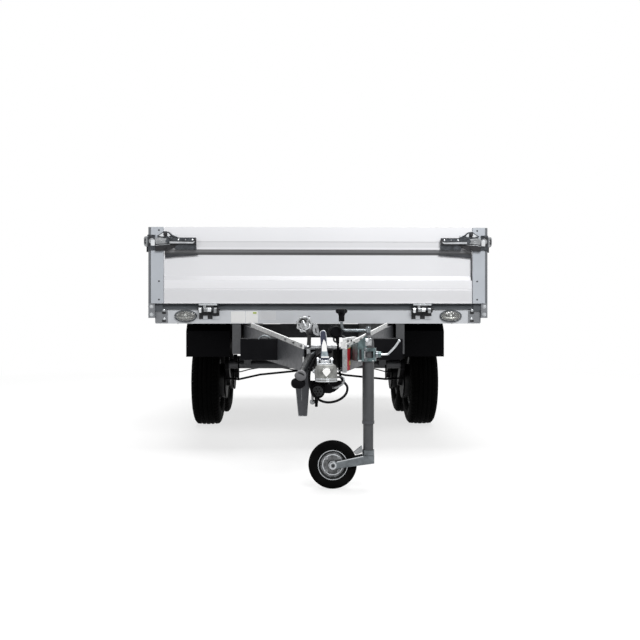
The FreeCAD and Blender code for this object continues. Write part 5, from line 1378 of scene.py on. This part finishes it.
class TRAILER_OT_cable(bpy.types.Operator):
    """Electric cable with its gland and plug, and the empty parking socket"""
    bl_idname = "trailer.cable"
    bl_label = "Cable"

    def execute(self, context):
        curve = bpy.data.curves.new("electric_cable", "CURVE")
        curve.dimensions = "3D"
        curve.bevel_depth = CABLE_DIAMETER / 2
        curve.bevel_resolution = 4
        curve.resolution_u = 12
        curve.use_fill_caps = True
        line = curve.splines.new("NURBS")
        line.points.add(len(CABLE_POINTS) - 1)
        for point, place in zip(line.points, CABLE_POINTS):
            point.co = (*at(*place), 1)
        line.order_u = 3
        line.use_endpoint_u = True
        cable = bpy.data.objects.new("electric_cable", curve)
        context.scene.collection.objects.link(cable)
        curve.materials.append(FINISH["rubber"])
        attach(cable, "chassis")
        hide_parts("connecting_cable")
        x, y, z = PLUG_PLACE

        def ribs(angle, d):
            return 0.9 * (np.mod(angle * 18 / np.pi, 1) < 0.5) * (d < -12) * (d > -38)

        d = np.array([-44, -44, -41, -38, -37.9, -30, -20, -12.1, -12, -8, -7.9, -4, -0.3])
        r = np.array([16, 20, 23, 24, 24, 24, 24, 24, 25, 25, 21, 21, 20.5])
        body = lathe("plug_body", np.stack([r, d], 1), (x, y, z), (0, 1, 0), 72, ribs)
        fixed([body], "plug_body_ribbed", "plastic", replaces=("plug",))
        before, end = np.array(CABLE_POINTS[-2:], float)
        up = (end - before) / np.linalg.norm(end - before)
        boot = [(5.3, -10), (6.2, -10), (7.2, 2), (8.4, 14), (9, 18), (9, 30)]
        fixed([lathe("plug_boot", boot, end, up, 32)], "plug_boot", "rubber")
        gland = lathe("gland", [(5.2, -16), (6.3, -15), (7.4, -4), (8.6, -3), (8.6, 12)],
                      CABLE_POINTS[0], np.subtract(CABLE_POINTS[0], CABLE_POINTS[1]), 32)
        fixed([gland], "cable_gland_boot", "rubber", replaces=("cable_gland",))
        self.parking_socket()
        return {"FINISHED"}

    def parking_socket(self):
        """Grey socket face with seven holes in a black housing."""
        x, y, z = -30.0, -1072.0, 407.0
        face = lathe("socket_face", [(2, 1.5), (21.5, 1.5), (21.9, 4)], (x, y, z), (0, 1, 0), 48)
        fixed([face], "socket_face", "lamp_grey")
        holes = [lathe("socket_hole", [(0.4, -0.2), (2.6, -0.2), (2.6, 1.2), (0.4, 1.2)],
                       (x + 12 * math.cos(a), y + 1.5, z + 12 * math.sin(a)), (0, -1, 0), 12)
                 for a in np.arange(6) * np.pi / 3]
        holes.append(lathe("socket_hole", [(0.4, -0.2), (3.2, -0.2), (3.2, 1.2), (0.4, 1.2)],
                           (x, y + 1.5, z), (0, -1, 0), 12))
        fixed(holes, "socket_holes", "plastic")
        lid = loft_along_y("lid", [(-1074, 13, 16, 417, 5), (-1072, 15, 18, 417, 5),
                                   (-1060, 15, 18, 417, 5), (-1057, 13, 16, 417, 5)], 13)
        hinge = tube("lid_hinge", [(-8, -1066, 424), (2, -1066, 422)], 6, 12)
        fixed([lid, hinge], "socket_lid", "plastic")
        ring = tube("ring", [(30, -1003, 458), (58, -1030, 462), (76, -1058, 458),
                             (73, -1062, 440), (58, -1062, 427), (34, -1058, 420),
                             (18, -1030, 428), (14, -1003, 448)], 4.2, 14, 6)
        fixed([ring], "safety_ring", "grey_zinc")
        t = np.linspace(0, 2 * np.pi, 33)
        loop = np.stack([50 + 10 * np.cos(t), np.full(33, -941.0), 614 + 11 * np.sin(t)], 1)
        fixed([tube("tether", loop, 3.8, 10)], "plug_tether", "lamp_grey")


class TRAILER_OT_stage(bpy.types.Operator):
    """Pale floor and backdrop, soft lamps and the camera"""
    bl_idname = "trailer.stage"
    bl_label = "Stage"

    def execute(self, context):
        settings = context.scene.trailer
        floor = bpy.data.objects.new("studio_floor", slab(
            "studio_floor", (-40000, 40000), (-40000, 40000), (-20, 0)))
        context.scene.collection.objects.link(floor)
        floor.data.materials.append(studio_white(settings.floor_colour, settings.floor_bounce))
        world = bpy.data.worlds.new("studio")
        context.scene.world = world
        world.use_nodes = True
        tree = world.node_tree
        light = tree.nodes["Background"]
        light.inputs["Color"].default_value = (1, 1, 1, 1)
        seen = tree.nodes.new("ShaderNodeMapRange")
        seen.inputs["To Min"].default_value = settings.sky
        seen.inputs["To Max"].default_value = 1.0
        tree.links.new(direct_look(tree), seen.inputs["Value"])
        tree.links.new(seen.outputs["Result"], light.inputs["Strength"])
        self.lamp(context, "key", (1.6, -6.5, 4.6), (0, -1.0, 0.6), 2.4, 285)
        self.lamp(context, "fill", (-4.5, -5.5, 2.2), (0, -1.0, 0.6), 2.0, 30)
        self.lamp(context, "top", (0, 0.5, 6.0), (0, 0, 0), 5.0, 520)
        self.lamp(context, "back", (2.0, 7.0, 4.0), (0, 0, 0.6), 4.0, 120)
        camera = bpy.data.objects.new("camera", bpy.data.cameras.new("camera"))
        context.scene.collection.objects.link(camera)
        camera.data.sensor_width = 36
        camera.data.lens = settings.lens
        camera.location = (settings.camera_side, FACE_Y - settings.camera_distance,
                           settings.camera_height)
        camera.rotation_euler = (math.pi / 2, 0, -settings.camera_turn)
        camera.data.clip_end = 200
        context.scene.camera = camera
        context.scene.view_settings.view_transform = "Standard"
        return {"FINISHED"}

    def lamp(self, context, name, place, target, size, power):
        """A square lamp of that size and power, aimed at the target."""
        lamp = bpy.data.lights.new(name, "AREA")
        lamp.size = size
        lamp.energy = power
        piece = bpy.data.objects.new(name, lamp)
        piece.location = place
        aim = Vector(target) - Vector(place)
        piece.rotation_euler = aim.to_track_quat("-Z", "Y").to_euler()
        context.scene.collection.objects.link(piece)


def direct_look(tree):
    """1 for rays that come from the camera, a mirror or a lens, else 0."""
    rays = tree.nodes.new("ShaderNodeLightPath")
    total = rays.outputs["Is Camera Ray"]
    for name in ("Is Glossy Ray", "Is Transmission Ray"):
        total = computed(tree, "MAXIMUM", total, rays.outputs[name])
    return total


def studio_white(shown, bounce):
    """Floor that looks nearly white, fades into the backdrop with distance, keeps
    the soft shadow and throws little light back up."""
    material = bpy.data.materials.new("studio_white")
    material.use_nodes = True
    tree = material.node_tree
    out = tree.nodes["Material Output"]
    shader = tree.nodes["Principled BSDF"]
    shader.inputs["Roughness"].default_value = 0.9
    look = direct_look(tree)
    tree.links.new(blended(tree, look, tuple(bounce), tuple(shown)), shader.inputs["Base Color"])
    place = tree.nodes.new("ShaderNodeTexCoord")
    far = tree.nodes.new("ShaderNodeVectorMath")
    far.operation = "LENGTH"
    tree.links.new(place.outputs["Object"], far.inputs[0])
    distant = spread(tree, far.outputs["Value"], 0.7, 1.0, 2.2, 7.0)
    share = computed(tree, "MULTIPLY", distant, look)
    glow = tree.nodes.new("ShaderNodeEmission")
    glow.inputs["Strength"].default_value = 1.0
    mix = tree.nodes.new("ShaderNodeMixShader")
    tree.links.new(share, mix.inputs["Fac"])
    tree.links.new(shader.outputs[0], mix.inputs[1])
    tree.links.new(glow.outputs[0], mix.inputs[2])
    tree.links.new(mix.outputs[0], out.inputs["Surface"])
    return material


OPERATORS = (TRAILER_OT_stage, TRAILER_OT_cable, TRAILER_OT_finishes, TRAILER_OT_tyres,
             TRAILER_OT_wheel_fittings, TRAILER_OT_jockey_wheel, TRAILER_OT_jockey_crank,
             TRAILER_OT_bed_fixings, TRAILER_OT_latches, TRAILER_OT_front_lamps,
             TRAILER_OT_rear_lamps, TRAILER_OT_blank_labels, TRAILER_OT_coupling,
             TRAILER_OT_drawbar, TRAILER_OT_handbrake)


class TRAILER_PT_panel(bpy.types.Panel):
    """The trailer's pieces, in the order they are made"""
    bl_label = "Trailer"
    bl_idname = "TRAILER_PT_panel"
    bl_space_type = "VIEW_3D"
    bl_region_type = "UI"
    bl_category = "Trailer"

    def draw(self, context):
        for operator in OPERATORS:
            self.layout.operator(operator.bl_idname)


CLASSES = (TrailerSettings, *OPERATORS, TRAILER_PT_panel)


def register():
    for item in CLASSES:
        bpy.utils.register_class(item)
    bpy.types.Scene.trailer = bpy.props.PointerProperty(type=TrailerSettings)


def unregister():
    del bpy.types.Scene.trailer
    for item in reversed(CLASSES):
        bpy.utils.unregister_class(item)


def main():
    """Make every piece."""
    register()
    for operator in OPERATORS:
        group, name = operator.bl_idname.split(".")
        getattr(getattr(bpy.ops, group), name)()


FINISH = make_finishes()

if __name__ == "__main__":
    main()
